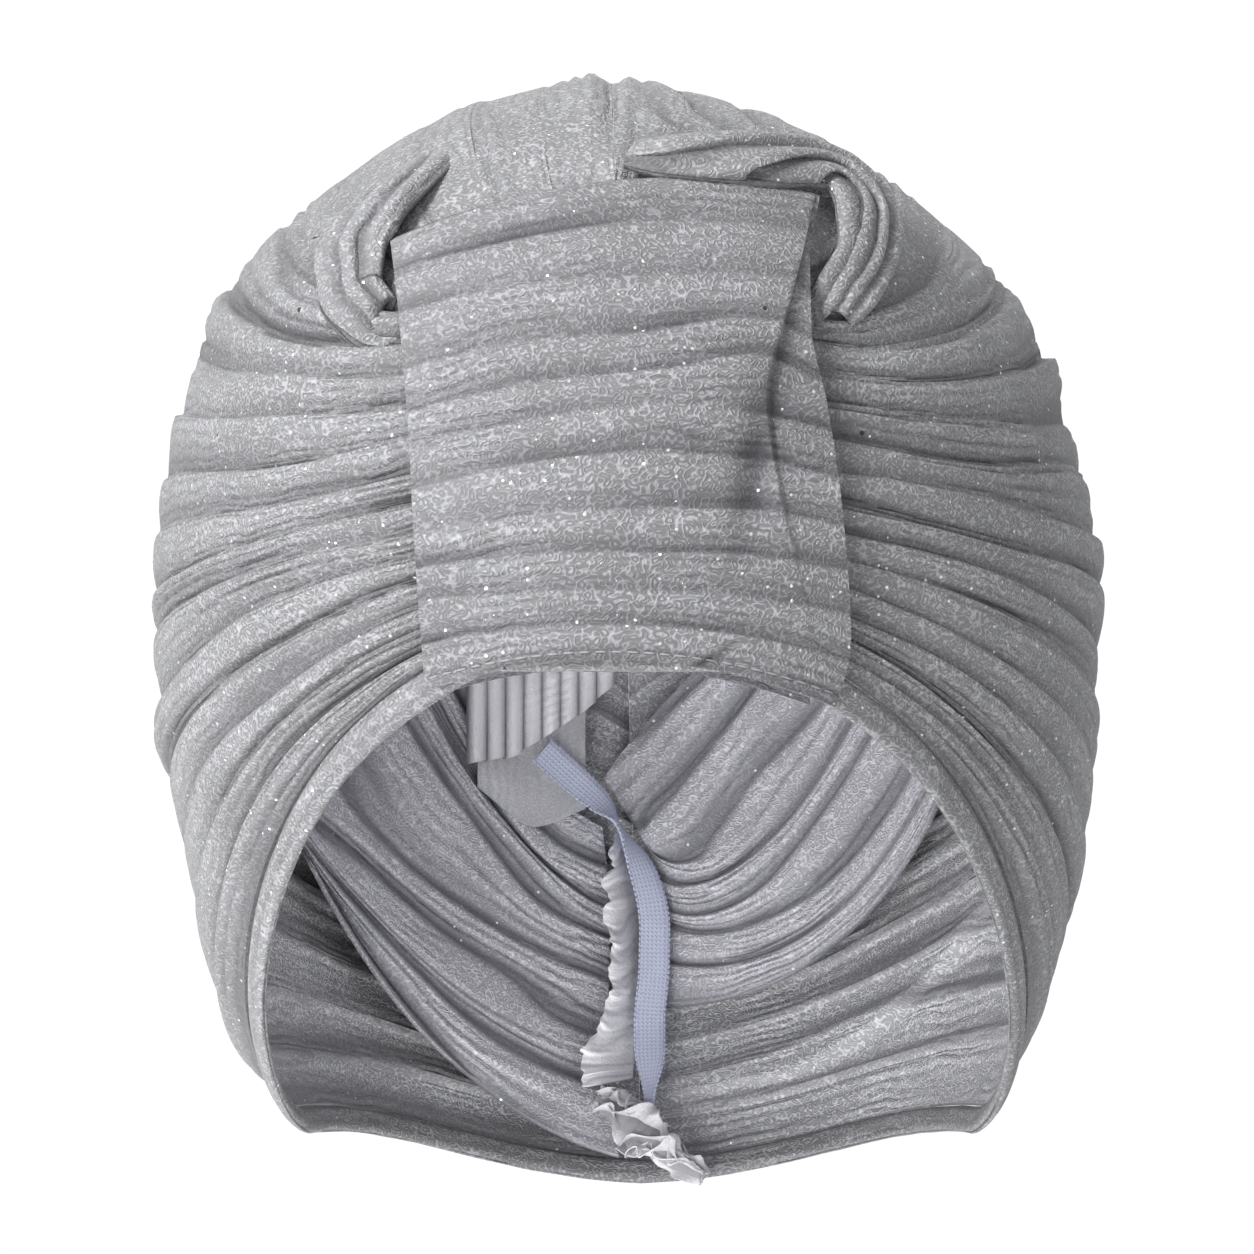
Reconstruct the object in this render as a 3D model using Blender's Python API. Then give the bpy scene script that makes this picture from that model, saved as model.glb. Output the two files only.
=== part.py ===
"""Pleated turban hat: a soft crown of knife pleats pinched at the front under a wide band.

Every piece of cloth is measured from one dome, an ellipsoid with its own reach to the front, back,
top and nape. A piece is a grid of points on the dome, lifted out of it or let into it by so many
millimetres, and given a wall. The dome is then shaped as worn: wider at the shoulders, leaning a
little. Front is -Y, up is +Z, and left and right are the viewer's, so left is -X. The origin is the
middle of the wearer's head, level with the hat's edge on the forehead.
"""

import math
from collections import namedtuple

import bmesh
import bpy
import numpy as np

MM = 0.001

# The dome, measured from its centre to the middle of the cloth
HALF_WIDTH = 100.7 * MM
FRONT_REACH = 111.0 * MM
BACK_REACH = 124.0 * MM
CROWN_RISE = 116.0 * MM
NAPE_DROP = 162.0 * MM
DOME_CENTRE = np.array([0.0, 0.0, 13.0 * MM])

# How the dome is shaped as worn: the shoulders' extra width, reached at a height, and the lean
SHOULDER = 0.058
SHOULDER_HEIGHT = 85.0 * MM
LEAN = 0.027

# The cloth
CLOTH_WALL = 1.5 * MM
THIN_WALL = 1.1 * MM
GAP = 0.4 * MM

# The crown: two halves that meet in a seam over the top
PLEATS_PER_HALF = 18
PLEAT_DEPTH = 2.7 * MM
PLEAT_DEPTH_SHARE = 0.8
PLEAT_DEPTH_CHANGE = 0.3
PLEAT_SHIFT = 0.07
PLEAT_SWELL = 0.25

# The pinch: how deep the cloth is drawn in at the band, how far along the pleats that reaches, how
# much of it is left at the rim, and the lesser pinch at the back seam
PINCH_DEPTH = 2.6 * MM
PINCH_REACH = 0.16
RIM_PINCH = 0.3
RIM_REACH = 0.04
SEAM_PINCH = 0.6
SEAM_PINCH_REACH = 0.07

# The ridge along the seam over the top
RIDGE_RISE = 3.0 * MM
RIDGE_SPREAD = 11.0 * MM
RIDGE_FOOT = 86.0 * MM

# Rows across one pleat, as place and height: it rises slowly, then drops sharply
PLEAT_ROWS = ((0.0, 0.0), (0.7, 1.0), (0.9, 0.86))

# Stations along a pleat: -1 at the front seam under the band, 0 near the band's edge, 1 at the back
STATIONS = (-1, -0.45, 0, 0.05, 0.11, 0.19, 0.28, 0.37, 0.46, 0.55, 0.65, 0.75, 0.84, 0.92, 0.97, 1)

# The crown's fan of pleats. share runs from the rim, 0, to the top, 1. start_x and start_z are where
# the pleat leaves the pinch, side_angle is where it crosses the side, in degrees from the top, swing
# is how far it bows out on its way there, and seam_z is where it meets the back seam. The two bows
# are how much of its rise or fall a pleat has behind it where each half of its way bends most.
FRONT_BOW = 0.3
BACK_BOW = 0.6
Fan = namedtuple("Fan", "share start_x start_z side_angle swing seam_z")
FAN = (
    Fan(0.00, 29, -2.0, 130, 23, -124.5),
    Fan(0.11, 30, 3.0, 117, 16, -109.0),
    Fan(0.26, 31, 15.0, 99, 6, -87.0),
    Fan(0.43, 33, 31.0, 83, 0, -60.0),
    Fan(0.57, 35, 48.0, 65, 2, -38.0),
    Fan(0.71, 34, 63.0, 43, 9, -18.0),
    Fan(0.85, 19, 75.0, 20, 7, -3.0),
    Fan(1.00, 0, 79.0, 0, 0, 9.0),
)

# The band, by share of its height from the lower edge, 0, to the upper, 1: its left and right edges,
# how far the middle of the row arches over them, the fold line of its turned-back corner, and how
# far the cloth drops past that line
Band = namedtuple("Band", "share left_x left_z right_x right_z arch fold_x step")
BAND = (
    Band(0.00, -39.6, -12.4, 41.0, -15.7, 7.5, 37.5, 0.0),
    Band(0.12, -40.5, -1.0, 44.0, -3.0, 5.0, 36.0, 0.1),
    Band(0.35, -42.0, 19.0, 42.3, 24.0, 3.0, 30.0, 0.8),
    Band(0.55, -43.0, 36.0, 39.5, 45.0, 3.0, 27.3, 1.7),
    Band(0.72, -44.5, 52.0, 36.8, 60.0, 4.0, 31.0, 1.9),
    Band(0.85, -46.0, 65.0, 36.8, 74.0, 5.0, 35.0, 1.5),
    Band(1.00, -48.0, 78.6, 39.5, 88.5, 6.5, 38.5, 0.4),
)
BAND_LIFT = 4.8 * MM
BAND_EDGE_DROP = 0.8 * MM
BAND_LOWEST = 3.3 * MM
BAND_PLEATS = 9
BAND_PLEAT_DEPTH = 0.9 * MM
BAND_EDGE_REACH = 0.16

# Places across the band: up to the fold line from 0 to 1, and on to the right edge from 1 to 2
BAND_COLUMNS = (0, 0.04, 0.16, 0.3, 0.44, 0.58, 0.72, 0.86, 0.96, 1, 1.12, 1.6, 2)

# The lip that shows under the band, the lower edge of its inner turn
LIP_SHOWS = 1.6 * MM
LIP_TOP = 24.0 * MM
LIP_LIFT = -4.8 * MM
LIP_INSET = 0.06

# The hem: a flat roll round the whole opening, just past the crown's edge
HEM_HALF_WIDTH = 3.3 * MM
HEM_HALF_THICKNESS = 1.5 * MM
HEM_SIDES = 8

# The rolls over the band's upper corners: a station's place, half its width across, and its lift
Roll = namedtuple("Roll", "x z half_width lift")
ROLL_RIGHT = (
    Roll(1.5, 99.0, 1.6, 4.6),
    Roll(8.0, 98.5, 4.8, 5.6),
    Roll(17.0, 98.5, 5.8, 5.9),
    Roll(27.0, 98.0, 6.2, 6.0),
    Roll(37.0, 96.5, 6.2, 6.0),
    Roll(45.5, 91.5, 6.0, 5.9),
    Roll(49.5, 83.0, 5.6, 5.6),
    Roll(48.5, 74.5, 4.8, 5.2),
    Roll(43.5, 67.0, 3.4, 4.6),
    Roll(40.0, 62.0, 1.7, 4.1),
)
ROLL_LEFT = (
    Roll(-39.5, 100.5, 1.5, 3.2),
    Roll(-43.5, 93.5, 4.2, 4.0),
    Roll(-50.5, 86.0, 5.2, 4.2),
    Roll(-56.0, 77.5, 5.6, 4.2),
    Roll(-56.5, 69.0, 5.0, 4.0),
    Roll(-52.0, 62.5, 3.8, 3.6),
    Roll(-47.8, 59.5, 1.7, 3.2),
)
ROLL_FLATNESS = 0.58
ROLL_SIDES = 9

# The loose layers inside, by share from the lower edge, 0, to the upper, 1: the fold line's outer
# end, its middle and its end at the seam, as seen from the front, and how far it hangs off the wall
Fold = namedtuple("Fold", "share outer_x outer_z middle_x middle_z seam_x seam_z off_wall")
DRAPE_RIGHT = (
    Fold(0.00, 82, -12, 53, -70, 6.5, -90, 7.5),
    Fold(0.25, 80, -8, 46, -65, 7.5, -73, 7.0),
    Fold(0.45, 70, -4, 36, -56.6, 7.5, -66, 6.0),
    Fold(0.65, 62, 0, 29.8, -50, 6.0, -55, 5.0),
    Fold(0.82, 50, 4, 17, -43, 2.5, -49, 4.0),
    Fold(1.00, 34, 6, 14, -13, -6, -36, 2.5),
)
DRAPE_LEFT = (
    Fold(0.00, -80, -38, -46, -95, -9, -121, 4.0),
    Fold(0.18, -84, -34, -46, -81, -8, -104, 5.0),
    Fold(0.38, -82, -27, -44, -66, -4.5, -87.5, 5.0),
    Fold(0.62, -62, -2, -30, -50, -4, -72, 4.5),
    Fold(0.80, -54, 4, -29, -43, -4.5, -61, 3.2),
    Fold(1.00, -44, 6, -26, -30, -6, -48, 1.8),
)
DRAPE_LIFT = -3.8 * MM
DRAPE_FOLDS = 7
DRAPE_FOLD_DEPTH = 1.5 * MM
DRAPE_DEPTH_SHARE = 0.8
DRAPE_DEPTH_CHANGE = 0.3
DRAPE_DEPTH_WAVE = 9.0
DRAPE_HANG_POWER = 0.8
DRAPE_STATIONS = 11

# The gathered allowance along the back seam: its sewn edge and its free edge
Frill = namedtuple("Frill", "share sewn_x sewn_z free_x free_z stands_off")
FRILL = (
    Frill(0.00, -1.5, -47.0, -3.0, -51.0, 8.5),
    Frill(0.20, 1.8, -61.0, -5.0, -62.0, 9.0),
    Frill(0.40, 2.8, -74.0, -4.6, -74.0, 9.5),
    Frill(0.60, 2.6, -86.0, -3.8, -85.0, 9.5),
    Frill(0.80, 1.8, -98.0, -9.0, -97.0, 9.0),
    Frill(1.00, 1.4, -106.0, -10.5, -107.0, 7.5),
)
FRILL_LIFT = -3.8 * MM
FRILL_GATHERS = 9
FRILL_GATHER_DEPTH = 1.0 * MM

# The crumpled end of that seam at the nape
Knot = namedtuple("Knot", "x z half_width lift")
KNOT = (
    Knot(-6.5, -109.5, 3.4, -9.0),
    Knot(-1.0, -113.5, 6.2, -10.0),
    Knot(5.0, -118.0, 6.4, -9.8),
    Knot(11.0, -122.5, 5.0, -8.8),
    Knot(17.5, -126.0, 2.6, -7.4),
)
KNOT_LOBES = 3
KNOT_SIDES = 12
KNOT_RINGS = 9
KNOT_TWIST = 2.2
KNOT_LOBE_DEPTH = 0.22

# The ruffle at the upper end of the seam, and the thin flap that hangs from under it
Ruffle = namedtuple("Ruffle", "share x top_z bottom_z")
RUFFLE = (
    Ruffle(0.0, -38.0, -7.0, -33.0),
    Ruffle(0.4, -24.0, -6.0, -29.0),
    Ruffle(1.0, -3.0, -6.0, -14.0),
)
RUFFLE_FLUTES = 8
RUFFLE_FLUTE_DEPTH = 1.6 * MM
RUFFLE_LIFT = -12.6 * MM
FLUTE_DEPTH_ABOVE = 0.4
FLAP = (
    Ruffle(0.0, -35.5, -20.0, -38.0),
    Ruffle(0.5, -22.0, -20.0, -47.5),
    Ruffle(1.0, -10.0, -20.0, -43.5),
)
FLAP_LIFT = -10.7 * MM

# The elastic tape that is sewn along the seam: its middle, its lift, and its turn about its length
Tape = namedtuple("Tape", "x z lift turn")
TAPE = (
    Tape(-20.0, -29.3, -14.0, 0),
    Tape(-12.4, -36.2, -13.8, 5),
    Tape(-6.3, -41.9, -12.5, 30),
    Tape(-1.9, -47.5, -11.5, 78),
    Tape(3.4, -57.3, -10.5, 30),
    Tape(6.3, -67.8, -10.2, 8),
    Tape(6.4, -79.2, -10.2, 0),
    Tape(5.3, -93.0, -10.2, 0),
    Tape(5.4, -103.0, -11.5, -10),
    Tape(5.6, -107.5, -12.5, -25),
)
TAPE_WIDTH = 6.8 * MM
TAPE_THICKNESS = 1.0 * MM
TAPE_STATIONS = 18

# Looks of the solids
GREY_KNIT = (0.36, 0.36, 0.38)
PALE_KNIT = (0.62, 0.61, 0.63)
LAVENDER = (0.66, 0.68, 0.86)


def curve_through(knots, values, where):
    """Values at the given places on a smooth curve through the knots, flat where they turn."""
    knots = np.asarray(knots, float)
    values = np.asarray(values, float)
    slopes = np.diff(values) / np.diff(knots)
    tangents = np.concatenate([slopes[:1], (slopes[1:] + slopes[:-1]) / 2, slopes[-1:]])
    tangents[1:-1][slopes[1:] * slopes[:-1] <= 0] = 0
    where = np.clip(where, knots[0], knots[-1])
    index = np.clip(np.searchsorted(knots, where) - 1, 0, len(knots) - 2)
    width = knots[index + 1] - knots[index]
    u = (where - knots[index]) / width
    start, end = values[index], values[index + 1]
    return (
        start * (2 * u**3 - 3 * u**2 + 1)
        + tangents[index] * width * (u**3 - 2 * u**2 + u)
        + end * (3 * u**2 - 2 * u**3)
        + tangents[index + 1] * width * (u**3 - u**2)
    )


def read(table, name, share):
    """A column of a table at the given shares."""
    return curve_through([row.share for row in table], [getattr(row, name) for row in table], share)


def read_path(table, name, count):
    """A column of a table read evenly from its first row to its last."""
    places = np.linspace(0, 1, len(table))
    return curve_through(places, [getattr(row, name) for row in table], np.linspace(0, 1, count))


def smooth_step(value):
    value = np.clip(value, 0, 1)
    return value * value * (3 - 2 * value)


def unit(vectors):
    return vectors / np.linalg.norm(vectors, axis=-1, keepdims=True)


def bend(start, control, end, u):
    """A quadratic curve between two points, drawn towards a third."""
    u = u[..., None]
    return start * (1 - u) ** 2 + 2 * control * u * (1 - u) + end * u**2


def reaches(points):
    """The dome's reach along each axis, for the eighth that each point lies in."""
    x, y, z = np.moveaxis(points, -1, 0)
    return np.stack(
        [
            np.full_like(x, HALF_WIDTH),
            np.where(y < 0, FRONT_REACH, BACK_REACH),
            np.where(z > 0, CROWN_RISE, NAPE_DROP),
        ],
        axis=-1,
    )


def on_dome(points):
    """The points moved straight out from the centre, or in, to lie on the dome."""
    return points / np.linalg.norm(points / reaches(points), axis=-1, keepdims=True)


def outward(points):
    """The dome's outward direction at points on it."""
    return unit(points / reaches(points) ** 2)


def widening(z):
    return 1 + SHOULDER * smooth_step(z / SHOULDER_HEIGHT)


def as_worn(points):
    """The dome's points shaped as worn: wider at the shoulders, and leaning."""
    x, y, z = np.moveaxis(points, -1, 0)
    return np.stack([x * widening(z) - LEAN * z, y, z], axis=-1)


def dome_point(x, z, reach, lift=0.0):
    """The point at x and z that is lifted so far off the dome, in front of or behind its middle."""
    x, z, lift = np.broadcast_arrays(x, z, lift)
    rise = np.where(z > 0, CROWN_RISE, NAPE_DROP) + lift
    room = np.clip(1 - (x / (HALF_WIDTH + lift)) ** 2 - (z / rise) ** 2, 0, None)
    return np.stack([x, (reach + math.copysign(1, reach) * lift) * np.sqrt(room), z], axis=-1)


def seen_point(x, z, reach, lift=0.0):
    """The lifted point that shows at x and z, in millimetres, on the hat as worn."""
    x, z = np.asarray(x, float) * MM, np.asarray(z, float) * MM
    return dome_point((x + LEAN * z) / widening(z), z, reach, lift)


def make_object(name, points_to_faces, colour):
    """A named object with its own material, from a function that fills an empty bmesh."""
    mesh = bpy.data.meshes.new(name)
    shape = bmesh.new()
    points_to_faces(shape)
    bmesh.ops.recalc_face_normals(shape, faces=shape.faces)
    shape.to_mesh(mesh)
    shape.free()
    material = bpy.data.materials.new(name)
    material.use_nodes = True
    shader = material.node_tree.nodes["Principled BSDF"]
    shader.inputs["Base Color"].default_value = (*colour, 1)
    shader.inputs["Roughness"].default_value = 0.6
    mesh.materials.append(material)
    piece = bpy.data.objects.new(name, mesh)
    piece.location = DOME_CENTRE
    bpy.context.scene.collection.objects.link(piece)
    mesh.shade_smooth()
    mesh.set_sharp_from_angle(angle=math.radians(35))
    return piece


def cloth_sheet(name, face, back, colour):
    """A sheet of cloth with a wall: two grids of points, its face and its back, joined at the edges."""
    rows, columns = face.shape[:2]

    def fill(shape):
        outer, inner = (
            [[shape.verts.new(point) for point in row] for row in as_worn(grid)]
            for grid in (face, back)
        )

        def two_triangles(a, b, c, d):
            shape.faces.new((a, b, c))
            shape.faces.new((a, c, d))

        for grid in (outer, inner):
            for i in range(rows - 1):
                for j in range(columns - 1):
                    two_triangles(grid[i][j], grid[i][j + 1], grid[i + 1][j + 1], grid[i + 1][j])
        rim = [(0, j) for j in range(columns)]
        rim += [(i, columns - 1) for i in range(1, rows)]
        rim += [(rows - 1, j) for j in range(columns - 2, -1, -1)]
        rim += [(i, 0) for i in range(rows - 2, 0, -1)]
        for (i, j), (k, m) in zip(rim, rim[1:] + rim[:1]):
            two_triangles(outer[i][j], outer[k][m], inner[k][m], inner[i][j])

    return make_object(name, fill, colour)


def rolled_cloth(name, rings, colour, closed=False):
    """A solid swept through rings of points, either closed on itself or capped at both ends."""

    def fill(shape):
        loops = [[shape.verts.new(point) for point in ring] for ring in as_worn(rings)]
        sides = len(loops[0])
        pairs = list(zip(loops, loops[1:]))
        if closed:
            pairs.append((loops[-1], loops[0]))
        for first, second in pairs:
            for k in range(sides):
                after = (k + 1) % sides
                shape.faces.new((first[k], first[after], second[after], second[k]))
        if not closed:
            shape.faces.new(loops[0])
            shape.faces.new(loops[-1])
        bmesh.ops.triangulate(shape, faces=shape.faces)

    return make_object(name, fill, colour)


def rings_along(centres, across, outwards, half_widths, half_heights, sides):
    """Rings of points round a line of centres, wider one way than the other."""
    angle = np.arange(sides) * math.tau / sides
    width = np.cos(angle)[None, :, None] * half_widths[:, None, None] * across[:, None, :]
    height = np.sin(angle)[None, :, None] * half_heights[:, None, None] * outwards[:, None, :]
    return centres[:, None, :] + width + height


def fan_paths(share, along):
    """Points on the dome where pleats at these shares have come this far along, for the +X half."""
    start_x = read(FAN, "start_x", share) * MM
    start_z = read(FAN, "start_z", share) * MM
    angle = np.radians(read(FAN, "side_angle", share))
    swing = read(FAN, "swing", share) * MM
    seam_z = read(FAN, "seam_z", share) * MM
    start = dome_point(start_x * np.clip(1 + along, 0, 1), start_z, -FRONT_REACH)
    side_x = HALF_WIDTH * np.sin(angle)
    side_z = np.where(np.cos(angle) > 0, CROWN_RISE, NAPE_DROP) * np.cos(angle)
    side = np.stack([side_x, np.zeros_like(side_x), side_z], axis=-1)
    seam = dome_point(np.zeros_like(seam_z), seam_z, BACK_REACH)
    bow_z = start_z + FRONT_BOW * (side_z - start_z)
    front_bow = np.stack([side_x + swing, start[..., 1], bow_z], axis=-1)
    back_bow = np.stack([side_x, seam[..., 1], side_z + BACK_BOW * (seam_z - side_z)], axis=-1)
    front_half = bend(start, front_bow, side, np.clip(along * 2, 0, 1))
    back_half = bend(side, back_bow, seam, np.clip(along * 2 - 1, 0, 1))
    points = on_dome(np.where((along < 0.5)[..., None], front_half, back_half))
    points[..., 0] = np.maximum(points[..., 0], 0)
    return points


def pleat_rows(phase):
    """Shares, heights and depths of the rows across the crown, no two pleats quite alike."""
    shares, heights, depths = [], [], []
    for pleat in range(PLEATS_PER_HALF):
        shift = PLEAT_SHIFT * math.sin(2.4 * pleat + phase)
        depth = PLEAT_DEPTH_SHARE + PLEAT_DEPTH_CHANGE * math.sin(1.7 * pleat + 2 * phase)
        for place, height in PLEAT_ROWS:
            shares.append((pleat + place + shift * (place > 0)) / PLEATS_PER_HALF)
            heights.append(height)
            depths.append(depth)
    return np.array(shares + [1.0]), np.array(heights + [0.0]), np.array(depths + [0.0])


def pinch(along):
    """How far the cloth is drawn in at the band and at the back seam, from 0 to 1."""
    front = np.exp(-((np.clip(along, 0, 1) / PINCH_REACH) ** 2))
    return front + SEAM_PINCH * np.exp(-(((1 - along) / SEAM_PINCH_REACH) ** 2))


def crown_half(name, side, phase):
    """One half of the crown; side is -1 for the left half and 1 for the right."""
    shares, heights, depths = pleat_rows(phase)
    share, along = np.meshgrid(shares, STATIONS)
    base = fan_paths(share, along)
    swell = 1 - PLEAT_SWELL * (1 - np.sin(np.pi * np.clip(along, 0, 1)))
    lift = PLEAT_DEPTH * heights * depths * swell - PINCH_DEPTH * pinch(along)
    lift *= RIM_PINCH + (1 - RIM_PINCH) * smooth_step(share / RIM_REACH)
    near_top = smooth_step((base[..., 2] - RIDGE_FOOT) / (CROWN_RISE - RIDGE_FOOT))
    lift += RIDGE_RISE * near_top * np.exp(-((base[..., 0] / RIDGE_SPREAD) ** 2))
    grids = []
    for depth in (0.0, CLOTH_WALL):
        grid = base + outward(base) * (lift - depth)[..., None]
        grid[..., 0] = np.maximum(grid[..., 0], GAP / 2) * side
        grids.append(grid)
    return cloth_sheet(name, *grids, GREY_KNIT)


def front_band():
    """The band, pleated across, with its turned-back upper right corner one layer higher."""
    rows = np.linspace(0, 1, 2 * BAND_PLEATS + 1)
    place, share = np.meshgrid(BAND_COLUMNS, rows)
    left, right, fold = (read(BAND, name, share) for name in ("left_x", "right_x", "fold_x"))
    x = np.where(place <= 1, left + (fold - left) * place, fold + (right - fold) * (place - 1))
    across = (x - left) / (right - left)
    level = read(BAND, "left_z", share) * (1 - across) + read(BAND, "right_z", share) * across
    z = level + read(BAND, "arch", share) * 4 * across * (1 - across)
    crest = np.where(np.arange(len(rows)) % 2 == 1, 1.0, 0.0)[:, None]
    lift = BAND_LIFT - BAND_PLEAT_DEPTH * (1 - crest) - read(BAND, "step", share) * MM * (place > 1)
    lift -= BAND_EDGE_DROP * np.clip(1 - place / BAND_EDGE_REACH, 0, 1) ** 2
    lift = np.maximum(lift, BAND_LOWEST)
    face = seen_point(x, z, -FRONT_REACH, lift)
    return cloth_sheet("front_band", face, face - outward(face) * CLOTH_WALL, GREY_KNIT)


def band_lip():
    """The band's inner turn, which lies inside the hem and shows as a lip under the band."""
    across, rise = np.meshgrid(np.linspace(LIP_INSET, 1 - LIP_INSET, 11), np.linspace(0, 1, 4))
    lowest = BAND[0]
    x = lowest.left_x + (lowest.right_x - lowest.left_x) * across
    level = lowest.left_z * (1 - across) + lowest.right_z * across
    foot = level + lowest.arch * 4 * across * (1 - across) - LIP_SHOWS / MM
    face = seen_point(x, foot + (LIP_TOP / MM - foot) * rise, -FRONT_REACH, LIP_LIFT)
    return cloth_sheet("band_lip", face, face - outward(face) * THIN_WALL, GREY_KNIT)


def rim_hem():
    """The hem, one flat roll that closes on itself round the opening."""
    along = np.array(STATIONS, float)
    half = fan_paths(np.zeros_like(along), along)
    lift = -RIM_PINCH * PINCH_DEPTH * pinch(along)
    other = (half * (-1, 1, 1))[-2:0:-1]
    ring = np.concatenate([half, other])
    lift = np.concatenate([lift, lift[-2:0:-1]]) - CLOTH_WALL / 2
    tangent = unit(np.roll(ring, -1, axis=0) - np.roll(ring, 1, axis=0))
    normal = outward(ring)
    down = unit(np.cross(tangent, normal))
    centres = ring + normal * lift[:, None] + down * (HEM_HALF_WIDTH + 0.75 * GAP)
    widths = np.full(len(ring), HEM_HALF_WIDTH)
    heights = np.full(len(ring), HEM_HALF_THICKNESS)
    rings = rings_along(centres, down, normal, widths, heights, HEM_SIDES)
    return rolled_cloth("rim_hem", rings, GREY_KNIT, closed=True)


def crown_roll(name, table, count):
    """A bundle of pleats that curls round one of the band's upper corners."""
    x, z, half_widths, lift = (read_path(table, name, count) for name in Roll._fields)
    half_widths = half_widths * MM
    centres = seen_point(x, z, -FRONT_REACH, lift * MM)
    normal = outward(centres)
    across = unit(np.cross(unit(np.gradient(centres, axis=0)), normal))
    rings = rings_along(
        centres, across, normal, half_widths, half_widths * ROLL_FLATNESS, ROLL_SIDES
    )
    return rolled_cloth(name, rings, GREY_KNIT)


def drape(name, table, phase):
    """A loose inner layer of pleated cloth that hangs off the back wall and ends at the seam."""
    rows = np.linspace(0, 1, 2 * DRAPE_FOLDS + 1)
    along, share = np.meshgrid(np.linspace(0, 1, DRAPE_STATIONS), rows)

    def ends(place):
        x = read(table, place + "_x", share)
        z = read(table, place + "_z", share)
        return np.stack([x, z], axis=-1)

    outer, middle, seam = ends("outer"), ends("middle"), ends("seam")
    path = bend(outer, 2 * middle - (outer + seam) / 2, seam, along)
    crest = np.where(np.arange(len(rows)) % 2 == 1, 1.0, 0.0)[:, None]
    hang = read(table, "off_wall", share) * MM * np.sin(np.pi * along) ** DRAPE_HANG_POWER
    depth = DRAPE_DEPTH_SHARE + DRAPE_DEPTH_CHANGE * np.sin(DRAPE_DEPTH_WAVE * share + phase)
    fold = DRAPE_FOLD_DEPTH * crest * depth
    face = seen_point(path[..., 0], path[..., 1], BACK_REACH, DRAPE_LIFT - hang - fold)
    return cloth_sheet(name, face, face - outward(face) * THIN_WALL, GREY_KNIT)


def seam_frill():
    """The gathered seam allowance: sewn along the seam, free and wavy at its other edge."""
    rows = np.linspace(0, 1, 2 * FRILL_GATHERS + 1)
    across, share = np.meshgrid(np.linspace(0, 1, 5), rows)
    x = read(FRILL, "sewn_x", share) * (1 - across) + read(FRILL, "free_x", share) * across
    z = read(FRILL, "sewn_z", share) * (1 - across) + read(FRILL, "free_z", share) * across
    crest = np.where(np.arange(len(rows)) % 2 == 1, 1.0, -1.0)[:, None]
    wave = FRILL_GATHER_DEPTH * crest * across
    off = read(FRILL, "stands_off", share) * MM * np.sin(np.pi / 2 * across) + wave
    face = seen_point(x + wave / MM, z, BACK_REACH, FRILL_LIFT - off)
    return cloth_sheet("seam_frill", face, face - outward(face) * THIN_WALL, PALE_KNIT)


def seam_knot():
    """The crumpled end of the seam, a bundle with a few deep lobes."""
    x, z, half_widths, lift = (read_path(KNOT, name, KNOT_RINGS) for name in Knot._fields)
    half_widths = half_widths * MM
    centres = seen_point(x, z, BACK_REACH, lift * MM)
    normal = outward(centres)
    across = unit(np.cross(unit(np.gradient(centres, axis=0)), normal))
    rings = rings_along(centres, across, normal, half_widths, half_widths, KNOT_SIDES)
    angle = np.arange(KNOT_SIDES) * math.tau / KNOT_SIDES
    twist = np.linspace(0, KNOT_TWIST, KNOT_RINGS)[:, None]
    lobes = 1 - KNOT_LOBE_DEPTH * (1 - np.cos(KNOT_LOBES * angle[None, :] + twist))
    rings = centres[:, None, :] + (rings - centres[:, None, :]) * lobes[..., None]
    return rolled_cloth("seam_knot", rings, PALE_KNIT)


def hanging_sheet(name, table, flutes, flute_depth, lift, colour):
    """A sheet that hangs inside the back wall between two edges, with upright flutes."""
    columns = np.linspace(0, 1, 2 * flutes + 1)
    share, drop = np.meshgrid(columns, np.linspace(0, 1, 4))
    top, bottom = read(table, "top_z", share), read(table, "bottom_z", share)
    crest = np.where(np.arange(len(columns)) % 2 == 1, 1.0, 0.0)[None, :]
    lift = lift - flute_depth * crest * (FLUTE_DEPTH_ABOVE + (1 - FLUTE_DEPTH_ABOVE) * drop)
    face = seen_point(read(table, "x", share), top + (bottom - top) * drop, BACK_REACH, lift)
    return cloth_sheet(name, face, face - outward(face) * THIN_WALL, colour)


def elastic_tape():
    """The flat elastic, which turns on edge once on its way down the seam."""
    x, z, lift, turn = (read_path(TAPE, name, TAPE_STATIONS) for name in TAPE[0]._fields)
    centres = seen_point(x, z, BACK_REACH, lift * MM)
    normal = outward(centres)
    tangent = unit(np.gradient(centres, axis=0))
    across = unit(np.cross(tangent, normal))
    turn = np.radians(turn)[:, None]
    wide = across * np.cos(turn) + normal * np.sin(turn)
    thick = unit(np.cross(tangent, wide))
    corners = ((-1, -1), (1, -1), (1, 1), (-1, 1))
    rings = np.stack(
        [
            centres + wide * (i * TAPE_WIDTH / 2) + thick * (j * TAPE_THICKNESS / 2)
            for i, j in corners
        ],
        axis=1,
    )
    return rolled_cloth("elastic_tape", rings, LAVENDER)


def main():
    for old in list(bpy.data.objects):
        bpy.data.objects.remove(old)
    crown_half("crown_left", -1, 0.4)
    crown_half("crown_right", 1, 1.9)
    front_band()
    band_lip()
    rim_hem()
    crown_roll("crown_roll_right", ROLL_RIGHT, 19)
    crown_roll("crown_roll_left", ROLL_LEFT, 13)
    drape("drape_left", DRAPE_LEFT, 0.5)
    drape("drape_right", DRAPE_RIGHT, 2.1)
    seam_frill()
    seam_knot()
    hanging_sheet("crown_ruffle", RUFFLE, RUFFLE_FLUTES, RUFFLE_FLUTE_DEPTH, RUFFLE_LIFT, PALE_KNIT)
    hanging_sheet("ruffle_flap", FLAP, 4, 0.0, FLAP_LIFT, PALE_KNIT)
    elastic_tape()


main()
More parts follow.
